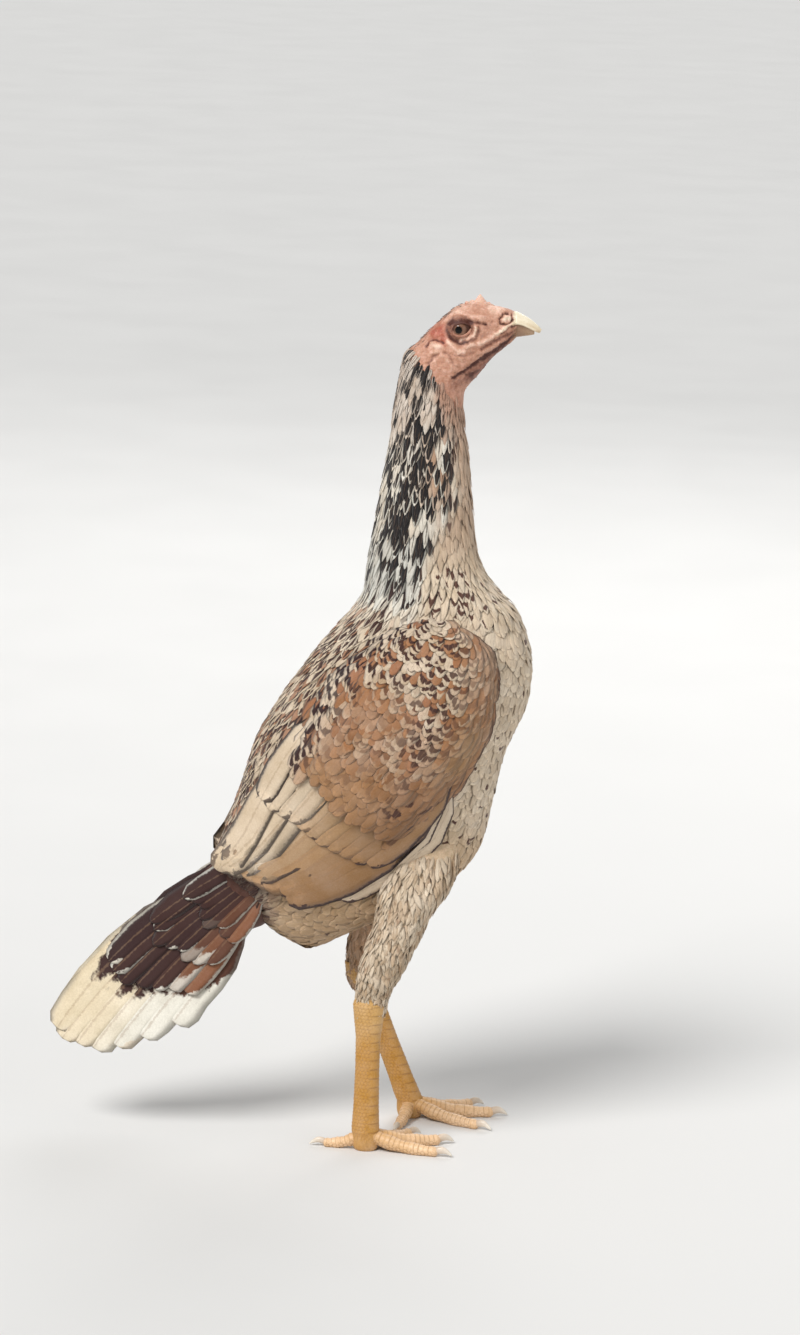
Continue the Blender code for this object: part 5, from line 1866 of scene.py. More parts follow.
@dataclass
class Comb:
    """The low pea comb: a few rows of small points round one peak."""

    voxel: float = 0.00034
    points: Array = field(default_factory=lambda: tenths((386, 6, 5637, 19), (352, -9, 5631, 17),
        (392, -30, 5622, 18), (398, 31, 5620, 19), (492, 4, 5628, 18), (470, -30, 5621, 16),
        (476, 29, 5619, 17), (432, -36, 5618, 17), (436, 35, 5620, 16), (356, 26, 5616, 15),
        (520, -10, 5618, 13)))

    def build(self) -> Thing:
        """Build the comb from rounded points melted together.

        Returns:
            The piece.
        """
        spots = [((0.0436, 0.0, 0.5616), (0.0092, 0.0044, 0.0028))]
        for step in range(7):
            share = step / 6.0
            size = 0.0039 * (1.0 - share) ** 0.85 + 0.0009
            place = (0.0440 - 0.0004 * share, 0.0, 0.5632 + 0.0048 * share)
            spots.append((place, (size, 0.0006 + 0.0014 * (1.0 - share), 0.0012)))
        for x, y, z, size in self.points:
            spots.append(((x, y, z), (size, size * 0.85, size * 0.8)))
        # Pale pink at the top, partly the comb's own pale colour and partly painted highlight, falling to the
        # face's tint at the foot.
        return melted("pea_comb", [rounded(*spot) for spot in spots], self.voxel, Tint.PINK, Tint.FACE)


def rounded(place: Tuple[float, float, float], size: Tuple[float, float, float]) -> Thing:
    """Add a rounded lump of these half sizes."""
    bpy.ops.mesh.primitive_uv_sphere_add(segments=20, ring_count=12, radius=1.0, location=place, scale=size)
    return bpy.context.object


def melted(name: str, parts: Sequence[Thing], voxel: float, high: Colour, low: Colour) -> Thing:
    """Join lumps, melt them into one smooth skin and colour it by height.

    Args:
        name: The piece's name.
        parts: The lumps.
        voxel: How finely they are melted.
        high: The colour at the top.
        low: The colour at the foot.

    Returns:
        The piece.
    """
    bpy.ops.object.select_all(action="DESELECT")
    for part in parts:
        part.select_set(True)
    made = bpy.context.view_layer.objects.active = parts[0]
    bpy.ops.object.join()
    bpy.ops.object.transform_apply(location=True, rotation=True, scale=True)
    made.name = name
    remesh = made.modifiers.new("melt", "REMESH")
    remesh.mode = "VOXEL"
    remesh.voxel_size = voxel
    remesh.use_smooth_shade = True
    smooth = made.modifiers.new("smooth", "SMOOTH")
    smooth.iterations = 3
    apply_steps(made)
    places = coordinates(made)
    height = ease(places[:, 2], places[:, 2].min(), places[:, 2].max())
    return in_colours(made, mix(low, high, height))


@dataclass
class Wattle:
    """One of the two small folds of skin at the jaw."""

    side: int

    def build(self) -> Thing:
        """Build the fold from three lumps melted together.

        Returns:
            The piece.
        """
        lumps = [rounded((x, self.side * 0.0050, z), size) for x, z,
            size in ((0.0425, 0.5232, (0.0062, 0.0022, 0.0034)), (0.0385, 0.5210, (0.0040, 0.0020, 0.0032)),
            (0.0462, 0.5262, (0.0040, 0.0018, 0.0026)))]
        # Red above, darkening at the foot to the darkest face tint: painted shade under the jaw with the
        # wattle's own darker skin.
        return melted(f"wattle_skin_{SIDE_NAMES[self.side]}", lumps, 0.0004, Tint.RED, Tint.SHADE_AND_GULAR)


@dataclass
class Eye:
    """One eyeball with a bulge over a dark brown iris, and the rim of its lids."""

    side: int
    pupil: float = 0.34
    iris: float = 0.90

    @property
    def centre(self) -> Tuple[float, float, float]:
        """The middle of the eyeball."""
        return EYE[0], EYE[1] * self.side, EYE[2]

    def ball(self) -> Thing:
        """Build the eyeball, its pole turned out to the side.

        Returns:
            The eyeball.
        """
        bpy.ops.object.select_all(action="DESELECT")
        bpy.ops.mesh.primitive_uv_sphere_add(segments=56, ring_count=40, radius=EYE_RADIUS,
            location=self.centre)
        made = bpy.context.object
        made.name = f"eyeball_{SIDE_NAMES[self.side]}"
        bpy.ops.object.transform_apply(location=True)
        bpy.ops.object.mode_set(mode="EDIT")
        bpy.ops.mesh.select_all(action="SELECT")
        bpy.ops.transform.rotate(value=math.pi / 2.0, orient_axis="X", center_override=self.centre)
        bpy.ops.object.mode_set(mode="OBJECT")
        bpy.ops.object.shade_smooth()
        places = coordinates(made)
        ray = unit(places - self.centre)
        gaze = unit(np.array((-0.14, float(self.side), 0.01)))
        angle = np.arccos(np.clip(ray @ gaze, -1.0, 1.0))
        bulge = 0.0004 * fall(angle, 0.25, 0.85)
        made.data.vertices.foreach_set("co", (places + ray * bulge[:, None]).ravel())
        # The iris ring is stronger below: painted light, as the brow shades the iris from above.
        return in_colours(made, layered(Tint.IRIS, (Tint.IRIS_RIM, ease(angle, self.iris - 0.25,
            self.iris)), (Tint.IRIS_RING, fall(np.abs(angle - 0.52), 0.05, 0.20) * (
            0.25 + 0.65 * ease(-ray[:, 2], -0.15, 0.5))), (Tint.PUPIL, fall(angle, self.pupil - 0.03,
            self.pupil + 0.02)), (Tint.EYE_CORNER, ease(angle, self.iris, self.iris + 0.08))))

    def rim(self) -> Thing:
        """Build the rim of the two lids round the opening.

        Returns:
            The rim.
        """
        face, sides = Face(), 10
        turn = round_turn(72)
        across = np.cos(turn)
        corner = 1.0 + 0.14 * ease(np.abs(across), 0.6, 1.2) * np.sign(across)
        x = across * corner * face.opening[0] + 0.0006
        z = np.sin(turn) * face.opening[1] + 0.0002 + 0.0006 * across
        hug = EYE_RADIUS + 0.00045
        centre = xyz(x, np.sqrt(np.maximum(hug ** 2 - x ** 2 - z ** 2, 0.0)), z)
        out = unit(centre)
        ahead = unit(np.roll(centre, -1, 0) - np.roll(centre, 1, 0))
        flat = np.cross(out, ahead)
        thick = (0.00062 + 0.00022 * (np.sin(turn) < 0.0))[:, None]
        grid = ringed(centre, out, flat, round_turn(sides), thick) * (1.0, self.side, 1.0) + self.centre
        made = new_mesh(f"lid_rim_{SIDE_NAMES[self.side]}", grid.reshape(-1, 3), ring_faces(len(turn), sides))
        low = np.repeat(ease(-np.sin(turn), -0.2, 0.5), sides)
        front = np.repeat(ease(np.cos(turn), 0.0, 0.8), sides)
        return in_colours(made, layered(Tint.LID, (Tint.LOWER_LID, low), (Tint.FACE, low * front * 0.8)))


@dataclass
class Foot:
    """One scaled leg below the hock: shank, four toes and their claws."""

    side: int
    scute: float = 0.0062
    toe_scute: float = 0.0034
    grain: float = 0.0024
    flat: float = 0.84
    length: float = 0.0877

    def scaled(self, along: Array, around: Array, ahead: Array, pitch: float) -> Tuple[Array, Array]:
        """Return the scales' relief and how deep in a groove each point is.

        Args:
            along: Distance down the leg or toe.
            around: Distance round it.
            ahead: How squarely each point faces the row of broad scutes.
            pitch: Length of one scute.

        Returns:
            Heights, and groove depth from 0 to 1.
        """
        paired = pitch > self.toe_scute
        column = np.where(around > 0.0, 0.5, 0.0) if paired else 0.0
        part = (along / pitch + column) % 1.0
        plate = 0.00042 * part ** 1.6 - 0.00042 * ease(part, 0.92, 1.0)
        crack = np.maximum(ease(part, 0.90, 0.98), fall(part, 0.02, 0.08))
        if paired:
            seam = np.abs(around + 0.0004 * np.sin(along / pitch * math.tau))
            crack = np.maximum(crack, fall(seam, 0.0002, 0.0007))
        wave = math.tau / self.grain
        hexes = sum(np.cos(wave * (along * c + around * s)) for c, s in ((1.0, 0.0), (-0.5, 0.866),
            (-0.5, -0.866)))
        hexes = (hexes + 1.5) / 4.5
        broad = ease(ahead, 0.10, 0.30)
        height = broad * plate + (1.0 - broad) * 0.00030 * ease(hexes, 0.05, 0.45)
        return height, broad * crack + (1.0 - broad) * fall(hexes, 0.04, 0.22)

    def shank(self) -> Thing:
        """Build the shank, from inside the thigh feathers to the sole.

        Returns:
            The shank, painted.
        """
        hock, ankle = (np.array(place) for place in SHANKS[self.side])
        share = np.linspace(-0.10, 1.0, 176)
        depth = np.interp(share, [-0.10, 0.0, 0.10, 0.25, 0.5, 0.8, 1.0], [0.0085, 0.0108, 0.0099,
            0.0083, 0.0080, 0.0085, 0.0094])
        centre = hock + (ankle - hock) * share[:, None]
        drop = np.array([(0.0030, 1.0), (0.0060, 0.99), (0.0085, 0.95), (0.0105, 0.88), (0.0120, 0.78)])
        centre = np.concatenate([centre, ankle - np.array([(0.0, 0.0, row[0]) for row in drop])])
        depth = np.concatenate([depth, depth[-1] * drop[:, 1]])
        turn = round_turn(80)
        lean = np.where(turn > math.pi, turn - math.tau, turn)
        along = np.concatenate([share * self.length, self.length + drop[:, 0]])
        height, groove = self.scaled(along[:, None] + 0.0 * turn, depth[:, None] * lean, np.cos(turn)[None]
            + 0.0 * along[:, None], self.scute)
        hind = 0.0007 * ease(-np.cos(turn), 0.72, 0.98)[None] * fall(along / self.length, 0.95, 1.05)[:, None]
        reach = depth[:, None] - 0.0006 + height + hind
        grid = centre[:, None] + xyz(reach * np.cos(turn), reach * self.flat * np.sin(turn), 0.0)
        made = skinned(f"leg_{SIDE_NAMES[self.side]}", grid)
        return self.coloured(made, groove, np.repeat(along, len(turn)) / 0.10)

    def coloured(self, made: Thing, groove: Array, down: Array) -> Thing:
        """Colour scales by their grooves and by how far down the leg they are.

        Args:
            made: The shank or toe.
            groove: How deep in a groove each point is.
            down: How far down the leg each point is.

        Returns:
            The same object.
        """
        count = len(made.data.vertices)
        deep, low = np.zeros(count), np.ones(count) * float(down[-1])
        deep[:groove.size] = groove.ravel()
        low[:down.size] = down
        return in_colours(made, layered(Tint.SCALE, (Tint.SHANK, ease(low, 0.05, 0.35)),
            (Tint.TOE, ease(low, 0.86, 1.25)), (Tint.GROOVE, deep * 0.55)))

    def path(self, digit: Digit) -> Tuple[Array, float, float]:
        """Return a toe's centre line and its radii at root and end.

        Args:
            digit: The toe.

        Returns:
            Its points and two radii.
        """
        _, base, end = digit.value
        ankle = np.array(SHANKS[self.side][1])
        high, low = ankle[2], end * 0.93
        goal = np.array((*TOE_TIPS[self.side][digit], low))
        share = np.linspace(0.0, 1.0, 96)[:, None]
        line = ankle + (goal - ankle) * share
        line[:, 2] = low + (high - low) * (1.0 - share[:, 0]) ** 2.6
        return line, base, end

    def toe(self, digit: Digit) -> Thing:
        """Build one toe with scutes on top and pads beneath.

        Args:
            digit: Which toe.

        Returns:
            The toe, painted.
        """
        line, base, end = self.path(digit)
        share = np.linspace(0.0, 1.0, len(line))
        radius = (base + (end - base) * share) * (1.0 + 0.07 * np.cos(share * math.tau * 3.0))
        radius = radius * np.sqrt(np.clip(1.0 - ((share - 0.93) / 0.075).clip(0.0, 0.995) ** 2, 0.06, 1.0))
        ahead = unit(np.gradient(line, axis=0))
        side = unit(np.cross((0.0, 0.0, 1.0), ahead))
        top = np.cross(ahead, side)
        turn = round_turn(44)
        along = share * np.linalg.norm(line[-1] - line[0])
        lean = np.where(turn > 1.5 * math.pi, turn - math.tau, turn) - math.pi / 2.0
        height, groove = self.scaled(along[:, None] + 0.0 * turn, radius[:, None] * lean, np.sin(turn)[None]
            + 0.15 + 0.0 * along[:, None], self.toe_scute)
        fade = fall(share, 0.90, 0.98)[:, None]
        reach = radius[:, None] - 0.0002 + height * fade
        grid = ringed(line, side, top, turn, reach)
        grid[..., 2] = np.maximum(grid[..., 2], 0.00002)
        made = skinned(f"toe_{digit.value[0]}_{SIDE_NAMES[self.side]}", grid)
        return self.coloured(made, groove * fade, np.repeat(1.0 + 0.3 * share, len(turn)))

    def claw(self, digit: Digit) -> Thing:
        """Build one curved claw, from a round primitive drawn out along its curve.

        Args:
            digit: Which toe it is on.

        Returns:
            The claw.
        """
        line, _, end = self.path(digit)
        ahead = unit(line[-1] - line[-8])
        share = np.linspace(0.0, 1.0, 26)
        rise = 0.0016 * np.sin(math.pi * share) - 0.0020 * share ** 2
        middle = line[-1] + ahead * (-0.0016 + 0.0112 * share[:, None]) + xyz(0.0, 0.0, rise + 0.0004)
        radius = end * np.sqrt(np.clip(1.0 - share ** 1.6, 0.004, 1.0)) * 0.74
        side = unit(np.cross((0.0, 0.0, 1.0), ahead))
        turn = round_turn(20)
        grid = ringed(middle, side[None] * 0.80, np.array(((0.0, 0.0, 1.05),)), turn, radius[:, None])
        grid[..., 2] = np.maximum(grid[..., 2], 0.00015)
        made = skinned(f"claw_horn_{digit.value[0]}_{SIDE_NAMES[self.side]}", grid)
        tip = np.append(np.repeat(share, len(turn)), (0.0, 1.0))
        return in_colours(made, mix(Tint.CLAW, Tint.CLAW_TIP, tip))


@dataclass
class Hair:
    """Dark hair-like feathers over the back of the crown, and sparse bristles on the face."""

    form: BodyForm
    seed: int = 51

    def build(self, bed: Thing) -> Thing:
        """Build the crown's wisps and the face's bristles as one mesh.

        Args:
            bed: The skin that they grow from.

        Returns:
            The piece.
        """
        draw = np.random.default_rng(self.seed)
        crown, bristles = 170, 120
        s = np.concatenate([draw.uniform(24.6, 30.6, crown), draw.uniform(24.8, 30.5, bristles)])
        reach = np.interp(s[:crown], [24.6, 27.0, 30.6], [0.60, 0.42, 0.30])
        turn = np.concatenate([math.pi + reach * draw.uniform(-1.0, 1.0, crown), draw.uniform(-1.6,
            1.6, bristles)])
        place = self.form.point(s, turn)
        count = len(s)
        headings = unit(np.array([-0.80, 0.0, -0.35]) + draw.normal(size=(count, 3)) * 0.22)
        lengths = np.concatenate([draw.uniform(0.0030, 0.0062, crown), draw.uniform(0.0014, 0.0028,
            bristles)])
        half = np.concatenate([draw.uniform(0.00020, 0.00042, crown), draw.uniform(0.00012, 0.00020,
            bristles)])
        vanes = Vanes("crown_hair", Outline.WISP, thickness=0.00014, shaft=0.00010, fray=0.10)
        lay = Tract(bed).lay(place, headings, lengths, vanes.places)
        rise = np.concatenate([draw.uniform(0.0003, 0.0012, crown), draw.uniform(0.0003, 0.0009, bristles)])
        lift = -0.0004 + rise[:, None] * np.asarray(vanes.places)[None] ** 1.2
        ground = mix(Tint.BROWN, Tint.GREY, draw.random(count) * 0.35)
        ground[crown:] = mix(ground[crown:], Tint.CREAM, 0.25 * draw.random(bristles))
        zero = np.zeros(count)
        marks = Marks(ground, ground, with_start(ground), np.stack([zero, zero, zero, zero], 1))
        patch = unwrapped(turn, s, 33.0)
        return vanes.build(lay, half, lift, np.zeros(count), zero, marks, patch, draw)


Socket = bpy.types.NodeSocket


def new_material(name: str) -> Tuple[bpy.types.Material, "Bench"]:
    """Return a new material and a bench on its nodes.

    Args:
        name: The material's name.

    Returns:
        The material and the bench.
    """
    made = bpy.data.materials.new(name)
    made.use_nodes = True
    return made, Bench(made.node_tree)


class Bench:
    """Places and joins the nodes of one tree."""

    def __init__(self, tree: bpy.types.NodeTree) -> None:
        """Clear the tree."""
        self.tree = tree
        tree.nodes.clear()

    def add(self, kind: str, inputs: Optional[Dict[object, object]] = None,
            **settings: object) -> bpy.types.Node:
        """Place a node.

        Args:
            kind: Its type.
            inputs: Values or sockets for its inputs, by name or number.
            settings: Its own settings.

        Returns:
            The node.
        """
        node = self.tree.nodes.new(kind)
        for name, value in settings.items():
            setattr(node, name, value)
        return self.feed(node, inputs or {})

    def feed(self, node: bpy.types.Node, inputs: Dict[object, object]) -> bpy.types.Node:
        """Give a node's inputs their values or sockets, and return it.

        Args:
            node: The node.
            inputs: Values or sockets by name or number.

        Returns:
            The node.
        """
        for name, value in inputs.items():
            if isinstance(value, bpy.types.NodeSocket):
                self.tree.links.new(value, node.inputs[name])
            else:
                node.inputs[name].default_value = value
        return node

    def sum(self, operation: str, first: object, second: object = 0.0, third: object = 0.0) -> Socket:
        """Return a sum of one to three values."""
        return self.add("ShaderNodeMath", {0: first, 1: second, 2: third}, operation=operation).outputs[0]

    def rise(self, value: Socket, low: object, high: object, start: float = 0.0, end: float = 1.0) -> Socket:
        """Return a smooth rise of a value from start at low to end at high."""
        return self.add("ShaderNodeMapRange", {"Value": value, "From Min": low, "From Max": high,
            "To Min": start, "To Max": end}, interpolation_type="SMOOTHSTEP").outputs[0]

    def blend(self, share: object, first: object, second: object, way: str = "MIX") -> Socket:
        """Return a blend of two colours."""
        return self.add("ShaderNodeMix", {0: share, 6: first, 7: second}, data_type="RGBA",
            blend_type=way).outputs[2]

    def grain(self, place: Socket, scale: float, detail: float = 3.0, rough: float = 0.55) -> Socket:
        """Return noise from 0 to 1."""
        return self.add("ShaderNodeTexNoise", {"Vector": place, "Scale": scale, "Detail": detail,
            "Roughness": rough}).outputs[0]

    def layer(self, name: str) -> bpy.types.Node:
        """Return a painted layer of the mesh."""
        return self.add("ShaderNodeAttribute", attribute_name=name)

    def place(self) -> Socket:
        """Return the place on the piece."""
        return self.add("ShaderNodeTexCoord").outputs["Object"]

    def uneven(self, colour: Socket, place: Socket, amount: float, blotch: float, fleck: float) -> object:
        """Return the outputs of the shared effect of uneven colour.

        Args:
            colour: The colour that it works on.
            place: The place on the piece.
            amount: How strong it is.
            blotch: The scale of its blotches.
            fleck: The scale of its flecks.

        Returns:
            The colour and the flecks' mask.
        """
        given = {"Color": colour, "Vector": place, "Amount": amount, "Blotch": blotch, "Fleck": fleck}
        group = self.tree.nodes.new("ShaderNodeGroup")
        group.node_tree = uneven_group()
        return self.feed(group, given).outputs

    def finish(self, colour: Socket, rough: Socket, bump: bpy.types.Node, settings: Dict[str, float]) -> None:
        """Send a surface out.

        Args:
            colour: Its colour.
            rough: Its roughness.
            bump: The bump that gives its relief.
            settings: What else its shader is set to.
        """
        shader = self.add("ShaderNodeBsdfPrincipled", {"Base Color": colour, "Roughness": rough,
            "Normal": bump.outputs[0], **settings})
        self.add("ShaderNodeOutputMaterial", {"Surface": shader.outputs[0]})


def uneven_group() -> bpy.types.NodeTree:
    """Return the shared effect of uneven colour: blotches and fine flecks, as a group.

    Returns:
        The group, made once.
    """
    found = bpy.data.node_groups.get("uneven colour")
    if found:
        return found
    tree = bpy.data.node_groups.new("uneven colour", "ShaderNodeTree")
    for name, kind in (("Color", "NodeSocketColor"), ("Vector", "NodeSocketVector"),
            ("Amount", "NodeSocketFloat"), ("Blotch", "NodeSocketFloat"), ("Fleck", "NodeSocketFloat")):
        tree.interface.new_socket(name, in_out="INPUT", socket_type=kind)
    tree.interface.new_socket("Color", in_out="OUTPUT", socket_type="NodeSocketColor")
    tree.interface.new_socket("Mask", in_out="OUTPUT", socket_type="NodeSocketFloat")
    bench = Bench(tree)
    given = bench.add("NodeGroupInput").outputs
    blotch = bench.add("ShaderNodeTexNoise", {"Vector": given["Vector"], "Scale": given["Blotch"],
        "Detail": 3.0}).outputs[0]
    fleck = bench.add("ShaderNodeTexNoise", {"Vector": given["Vector"], "Scale": given["Fleck"],
        "Detail": 2.0}).outputs[0]
    both = bench.sum("ADD", bench.sum("MULTIPLY", bench.sum("SUBTRACT", blotch, 0.5), 1.5),
        bench.sum("SUBTRACT", fleck, 0.5))
    value = bench.sum("MULTIPLY_ADD", both, given["Amount"], 1.0)
    out = bench.add("ShaderNodeHueSaturation", {"Color": given["Color"], "Value": value,
        "Saturation": bench.sum("MULTIPLY_ADD", both, -0.25, 1.0)}).outputs[0]
    bench.add("NodeGroupOutput", {"Color": out, "Mask": fleck})
    return tree


@dataclass(frozen=True)
class PlumageFinish:
    """Feathers: shaft streak, bar, tip and edge over each feather's own colour, with barbs."""

    name: str
    barbs: float = 46.0
    uneven: float = 0.30
    curve: float = 0.22
    waver: float = 0.40
    fringe: float = 0.50

    def material(self) -> bpy.types.Material:
        """Make the material.

        Returns:
            The material.
        """
        made, bench = new_material(self.name)
        place = bench.place()
        vane = bench.add("ShaderNodeSeparateXYZ", {0: bench.add("ShaderNodeUVMap", uv_map="Vane").outputs[
            0]}).outputs
        pattern = bench.layer("pattern")
        parts = bench.add("ShaderNodeSeparateColor", {0: pattern.outputs["Color"]}).outputs
        wobble = bench.sum("SUBTRACT", bench.grain(place, 420.0, 3.0, 0.6), 0.5)
        off = bench.sum("ABSOLUTE", bench.sum("MULTIPLY_ADD", vane[0], 2.0, -1.0))
        off = bench.sum("MULTIPLY_ADD", wobble, 0.30, off)
        slow = bench.sum("SUBTRACT", bench.grain(place, 170.0, 2.0, 0.5), 0.5)
        along = bench.sum("MULTIPLY_ADD", slow, self.waver, bench.sum("MULTIPLY_ADD", wobble, 0.06, vane[1]))
        bent = bench.sum("MULTIPLY_ADD", bench.sum("MULTIPLY", off, off), self.curve, along)
        narrowing = bench.sum("MULTIPLY_ADD", bench.sum("POWER", vane[1], 2.0), -0.45, 1.0)
        wide = bench.sum("MULTIPLY", bench.sum("MULTIPLY", parts[0], 0.95), narrowing)
        streak = bench.rise(off, bench.sum("SUBTRACT", wide, 0.16), bench.sum("ADD", wide, 0.10), 1.0, 0.0)
        streak = bench.sum("MULTIPLY", streak, bench.rise(parts[0], 0.02, 0.12))
        streak = bench.sum("MULTIPLY", streak, bench.rise(along, 0.90, 0.97, 1.0, 0.0))
        bar = bench.rise(bench.sum("ABSOLUTE", bench.sum("SUBTRACT", bent, 0.76)), 0.07, 0.14, 1.0, 0.0)
        bar = bench.sum("MULTIPLY", bar, parts[1])
        tips = bench.layer("tip").outputs
        tip = bench.sum("MULTIPLY", bench.rise(bench.sum("SUBTRACT", bent, tips["Alpha"]), -0.02, 0.04),
            parts[2])
        # Dark edges, on the wing's feathers partly painted shade between them.
        edge = bench.sum("MULTIPLY", bench.rise(bench.sum("ADD", off, bench.rise(along, 0.90, 1.0, 0.0,
            0.35)), 0.76, 0.90), pattern.outputs["Alpha"])
        ground = bench.layer("ground").outputs["Color"]
        mark = bench.layer("mark").outputs["Color"]
        rim = bench.sum("MAXIMUM", bench.rise(off, 0.66, 0.98), bench.rise(along, 0.88, 1.0))
        colour = bench.blend(bench.sum("MULTIPLY", rim, self.fringe), ground, bench.blend(1.0, ground,
            (1.5, 1.5, 1.5, 1.0), "MULTIPLY"))
        colour = bench.blend(streak, colour, mark)
        colour = bench.blend(bar, colour, mark)
        colour = bench.blend(tip, colour, tips["Color"])
        colour = bench.blend(edge, colour, mark)
        slant = bench.sum("MULTIPLY_ADD", off, -0.22, vane[1])
        barb = bench.sum("SINE", bench.sum("MULTIPLY_ADD", slant, self.barbs * math.tau,
            bench.sum("MULTIPLY", wobble, 6.0)))
        colour = bench.blend(bench.sum("MULTIPLY_ADD", barb, 0.045, 0.045), colour, (0.10, 0.06, 0.04, 1.0))
        shaft = bench.rise(off, 0.02, 0.09, 0.30, 0.0)
        colour = bench.blend(shaft, colour, (0.30, 0.18, 0.10, 1.0))
        uneven = bench.uneven(colour, place, self.uneven, 60.0, 900.0)
        height = bench.sum("MULTIPLY_ADD", barb, 0.5, bench.sum("MULTIPLY", wobble, 1.2))
        bump = bench.add("ShaderNodeBump", {"Strength": 0.55, "Distance": 0.00016, "Height": height})
        bench.finish(uneven["Color"], bench.rise(uneven["Mask"], 0.3, 0.7, 0.58, 0.78), bump,
            {"Specular IOR Level": 0.30, "Sheen Weight": 0.12, "Sheen Roughness": 0.5})
        return made


@dataclass(frozen=True)
class HideFinish:
    """Skin, comb, scales, horn or eye: the piece's own colours with grain, relief and gloss."""

    name: str
    uneven: float = 0.20
    blotch: float = 90.0
    fleck: float = 900.0
    rough: Tuple[float, float] = (0.42, 0.60)
    pit: float = 1500.0
    relief: float = 0.00018
    coat: float = 0.0
    soft: float = 0.0
    gloss: float = 0.45
    dots: float = 0.15

    def material(self) -> bpy.types.Material:
        """Make the material.

        Returns:
            The material.
        """
        made, bench = new_material(self.name)
        place = bench.place()
        uneven = bench.uneven(bench.layer("ground").outputs["Color"], place, self.uneven, self.blotch,
            self.fleck)
        cells = bench.add("ShaderNodeTexVoronoi", {"Vector": place, "Scale": self.pit}).outputs["Distance"]
        height = bench.sum("MULTIPLY_ADD", cells, 0.6, bench.grain(place, self.pit * 0.5, 4.0, 0.6))
        bump = bench.add("ShaderNodeBump", {"Strength": 0.6, "Distance": self.relief, "Height": height})
        colour = bench.blend(bench.rise(cells, 0.50, 0.10, 0.0, self.dots), uneven["Color"],
            (0.12, 0.05, 0.035, 1.0))
        bench.finish(colour, bench.rise(uneven["Mask"], 0.3, 0.7, *self.rough), bump,
            {"Specular IOR Level": self.gloss, "Coat Weight": self.coat,
            "Coat Roughness": 0.06, "Subsurface Weight": self.soft, "Subsurface Scale": 0.0015})
        return made


@dataclass(frozen=True)
class FloorFinish:
    """A plain pale studio floor."""

    name: str = "studio floor"

    def material(self) -> bpy.types.Material:
        """Make the material.

        Returns:
            The material.
        """
        made, bench = new_material(self.name)
        place = bench.place()
        colour = bench.blend(bench.grain(place, 3.0), (0.70, 0.69, 0.67, 1.0), (0.74, 0.73, 0.71, 1.0))
        bump = bench.add("ShaderNodeBump", {"Strength": 0.1, "Distance": 0.0003, "Height": bench.grain(
            place, 160.0)})
        bench.finish(colour, bench.rise(bench.grain(place, 6.0), 0.3, 0.7, 0.70, 0.85), bump, {})
        return made


@dataclass
class Studio:
    """The camera at the photograph's angle, the floor and soft lights."""

    lens: float = 124.04
    pitch: float = math.radians(11.5)
    roll: float = math.radians(2.0)
    eye: Tuple[float, float, float] = (SHIFT, -2.9751, 0.9253)
    floor_size: float = 40.0

    def camera(self) -> None:
        """Set up the camera."""
        data = bpy.data.cameras.new("photo view")
        data.lens = self.lens
        data.sensor_width = 36.0
        data.clip_end = 100.0
        made = bpy.data.objects.new("photo view", data)
        bpy.context.scene.collection.objects.link(made)
        upright = Vector((0.0, math.sin(self.pitch), math.cos(self.pitch)))
        right = Vector((math.cos(self.roll), 0.0, 0.0)) + upright * math.sin(self.roll)
        up = upright * math.cos(self.roll) - Vector((math.sin(self.roll), 0.0, 0.0))
        forward = Vector((0.0, math.cos(self.pitch), -math.sin(self.pitch)))
        made.matrix_world = Matrix(((right.x, up.x, -forward.x, self.eye[0]), (right.y, up.y, -forward.y,
            self.eye[1]), (right.z, up.z, -forward.z, self.eye[2]), (0.0, 0.0, 0.0, 1.0)))
        bpy.context.scene.camera = made

    def floor(self) -> None:
        """Lay the floor."""
        bpy.ops.object.select_all(action="DESELECT")
        bpy.ops.mesh.primitive_plane_add(size=self.floor_size)
        made = bpy.context.object
        made.name = "studio_floor"
        made.data.materials.append(FloorFinish().material())

    def lights(self) -> None:
        """Hang the lights and set the pale surroundings."""
        for name, kind, place, size, power in (("key", "SUN", (-1.2, -1.7, 2.6), 0.45, 2.7),
                ("fill", "AREA", (2.2, -1.6, 1.2), 2.0, 12.0), ("back", "AREA", (0.6, 2.2, 1.9), 1.8, 22.0)):
            data = bpy.data.lights.new(name, kind)
            if kind == "SUN":
                data.angle = size
            else:
                data.size = size
            data.energy = power
            made = bpy.data.objects.new(name, data)
            bpy.context.scene.collection.objects.link(made)
            made.location = place
            made.rotation_euler = (Vector((SHIFT, 0.0, 0.30)) - Vector(place)).to_track_quat("-Z",
                "Y").to_euler()
        world = bpy.data.worlds.new("pale studio")
        world.use_nodes = True
        world.node_tree.nodes["Background"].inputs[0].default_value = (0.86, 0.88, 0.90, 1.0)
        world.node_tree.nodes["Background"].inputs[1].default_value = 0.44
        bpy.context.scene.world = world
        bpy.context.scene.view_settings.view_transform = "Standard"

    def build(self) -> None:
        """Build the studio."""
        self.camera()
        self.floor()
        self.lights()


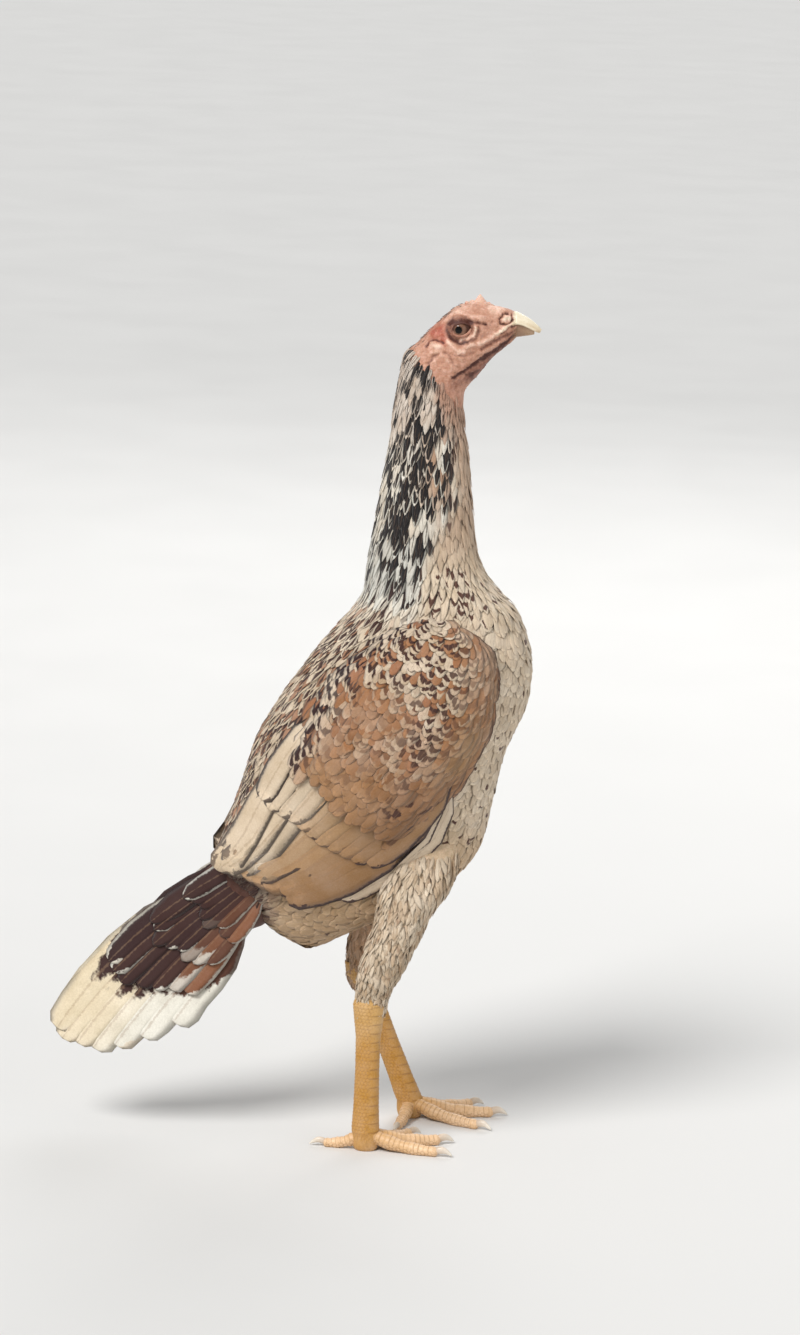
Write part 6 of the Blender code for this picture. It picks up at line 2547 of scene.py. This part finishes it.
class Wardrobe:
    """The finishes, each made once."""

    def __init__(self) -> None:
        """Make the materials."""
        self.body = PlumageFinish("body plumage").material()
        self.hackle = PlumageFinish("hackle plumage", barbs=36.0).material()
        self.wing = PlumageFinish("wing plumage", barbs=60.0, fringe=0.35).material()
        self.tail = PlumageFinish("tail plumage", barbs=80.0, curve=0.30, waver=0.22, fringe=0.0).material()
        self.thigh = PlumageFinish("thigh plumage", barbs=24.0, uneven=0.40).material()
        self.skin = HideFinish("face skin", uneven=0.50, blotch=330.0, pit=1100.0, rough=(0.46, 0.62),
            soft=0.06, relief=0.00040, gloss=0.34, dots=0.10).material()
        self.comb = HideFinish("comb skin", uneven=0.28, pit=1100.0, rough=(0.36, 0.52), soft=0.12,
            relief=0.0003).material()
        self.horn = HideFinish("bill horn", uneven=0.16, blotch=160.0, pit=700.0, rough=(0.26, 0.42),
            relief=0.00006, coat=0.15, dots=0.03).material()
        self.scale = HideFinish("leg scale", uneven=0.22, pit=900.0, rough=(0.34, 0.55),
            relief=0.00010).material()
        self.claw = HideFinish("claw horn", uneven=0.16, pit=600.0, rough=(0.28, 0.42), relief=0.00005,
            dots=0.03).material()
        self.eye = HideFinish("eye", uneven=0.30, blotch=500.0, fleck=2600.0, pit=3000.0,
            rough=(0.10, 0.16), relief=0.000004, coat=0.12, gloss=0.15, dots=0.0).material()


class Hen:
    """The whole bird."""

    def __init__(self) -> None:
        """Make the finishes and the form."""
        self.wardrobe = Wardrobe()
        self.form = BodyForm()

    def plumage_and_skin(self) -> None:
        """Build the skin and every feather that grows from it."""
        maker = Skin(self.form)
        body = maker.body()
        coat = BodyCoat(self.form).build(body)
        hair = Hair(self.form).build(body)
        thighs, thigh_coats = [], []
        for side in (-1, 1):
            thigh = maker.thigh(side)
            thigh_coats.append(ThighCoat(side).build(thigh))
            thighs.append(thigh)
        united(body, thighs + [Wing(side).flesh() for side in (-1, 1)] + [Tail().flesh()])
        hand_over(body, self.wardrobe.skin, "face_skin", "torso", "neck", "head", "thigh_right", "thigh_left")
        for piece in coat:
            hackle = piece.name.startswith(Patchwork.HACKLE.value)
            hand_over(piece, self.wardrobe.hackle if hackle else self.wardrobe.body, "hackle_plumage"
                if hackle else "body_plumage")
        hand_over(hair, self.wardrobe.thigh, "hackle_plumage")
        for piece in thigh_coats:
            hand_over(piece, self.wardrobe.thigh, "thigh_plumage")

    def quills(self) -> None:
        """Build the wings' and the tail's feathers."""
        for side in (-1, 1):
            for piece in Wing(side).build():
                hand_over(piece, self.wardrobe.wing, "wing_plumage", f"wing_{SIDE_NAMES[side]}")
        for piece in Tail().build():
            hand_over(piece, self.wardrobe.tail, "tail_plumage", "tail")

    def head(self) -> None:
        """Build the bills, comb, wattles and eyes."""
        hand_over(Bill().upper(), self.wardrobe.horn, "beak_horn", "beak_upper")
        hand_over(Bill().lower(), self.wardrobe.horn, "beak_horn", "beak_lower")
        hand_over(Comb().build(), self.wardrobe.comb, "comb_skin", "comb")
        for side in (-1, 1):
            word = SIDE_NAMES[side]
            hand_over(Wattle(side).build(), self.wardrobe.comb, "comb_skin", f"wattle_{word}")
            hand_over(Eye(side).ball(), self.wardrobe.eye, "eye", f"eye_{word}")
            hand_over(Eye(side).rim(), self.wardrobe.skin, "face_skin")

    def feet(self) -> None:
        """Build the shanks, toes and claws."""
        for side in (-1, 1):
            foot, word = Foot(side), SIDE_NAMES[side]
            leg = united(foot.shank(), [foot.toe(digit) for digit in Digit])
            nodes = [f"toe_{digit.value[0]}_{word}" for digit in Digit]
            hand_over(leg, self.wardrobe.scale, "leg_scale", f"shank_{word}", *nodes)
            for digit in Digit:
                hand_over(foot.claw(digit), self.wardrobe.claw, "claw_horn", f"claw_{digit.value[0]}_{word}")

    def build(self) -> None:
        """Build the whole bird in order."""
        self.plumage_and_skin()
        self.quills()
        self.head()
        self.feet()


def main() -> None:
    """Dress the model and set up the studio."""
    logging.basicConfig(level=logging.INFO, format="%(message)s")
    Studio().build()
    Hen().build()


if __name__ == "__main__":
    main()
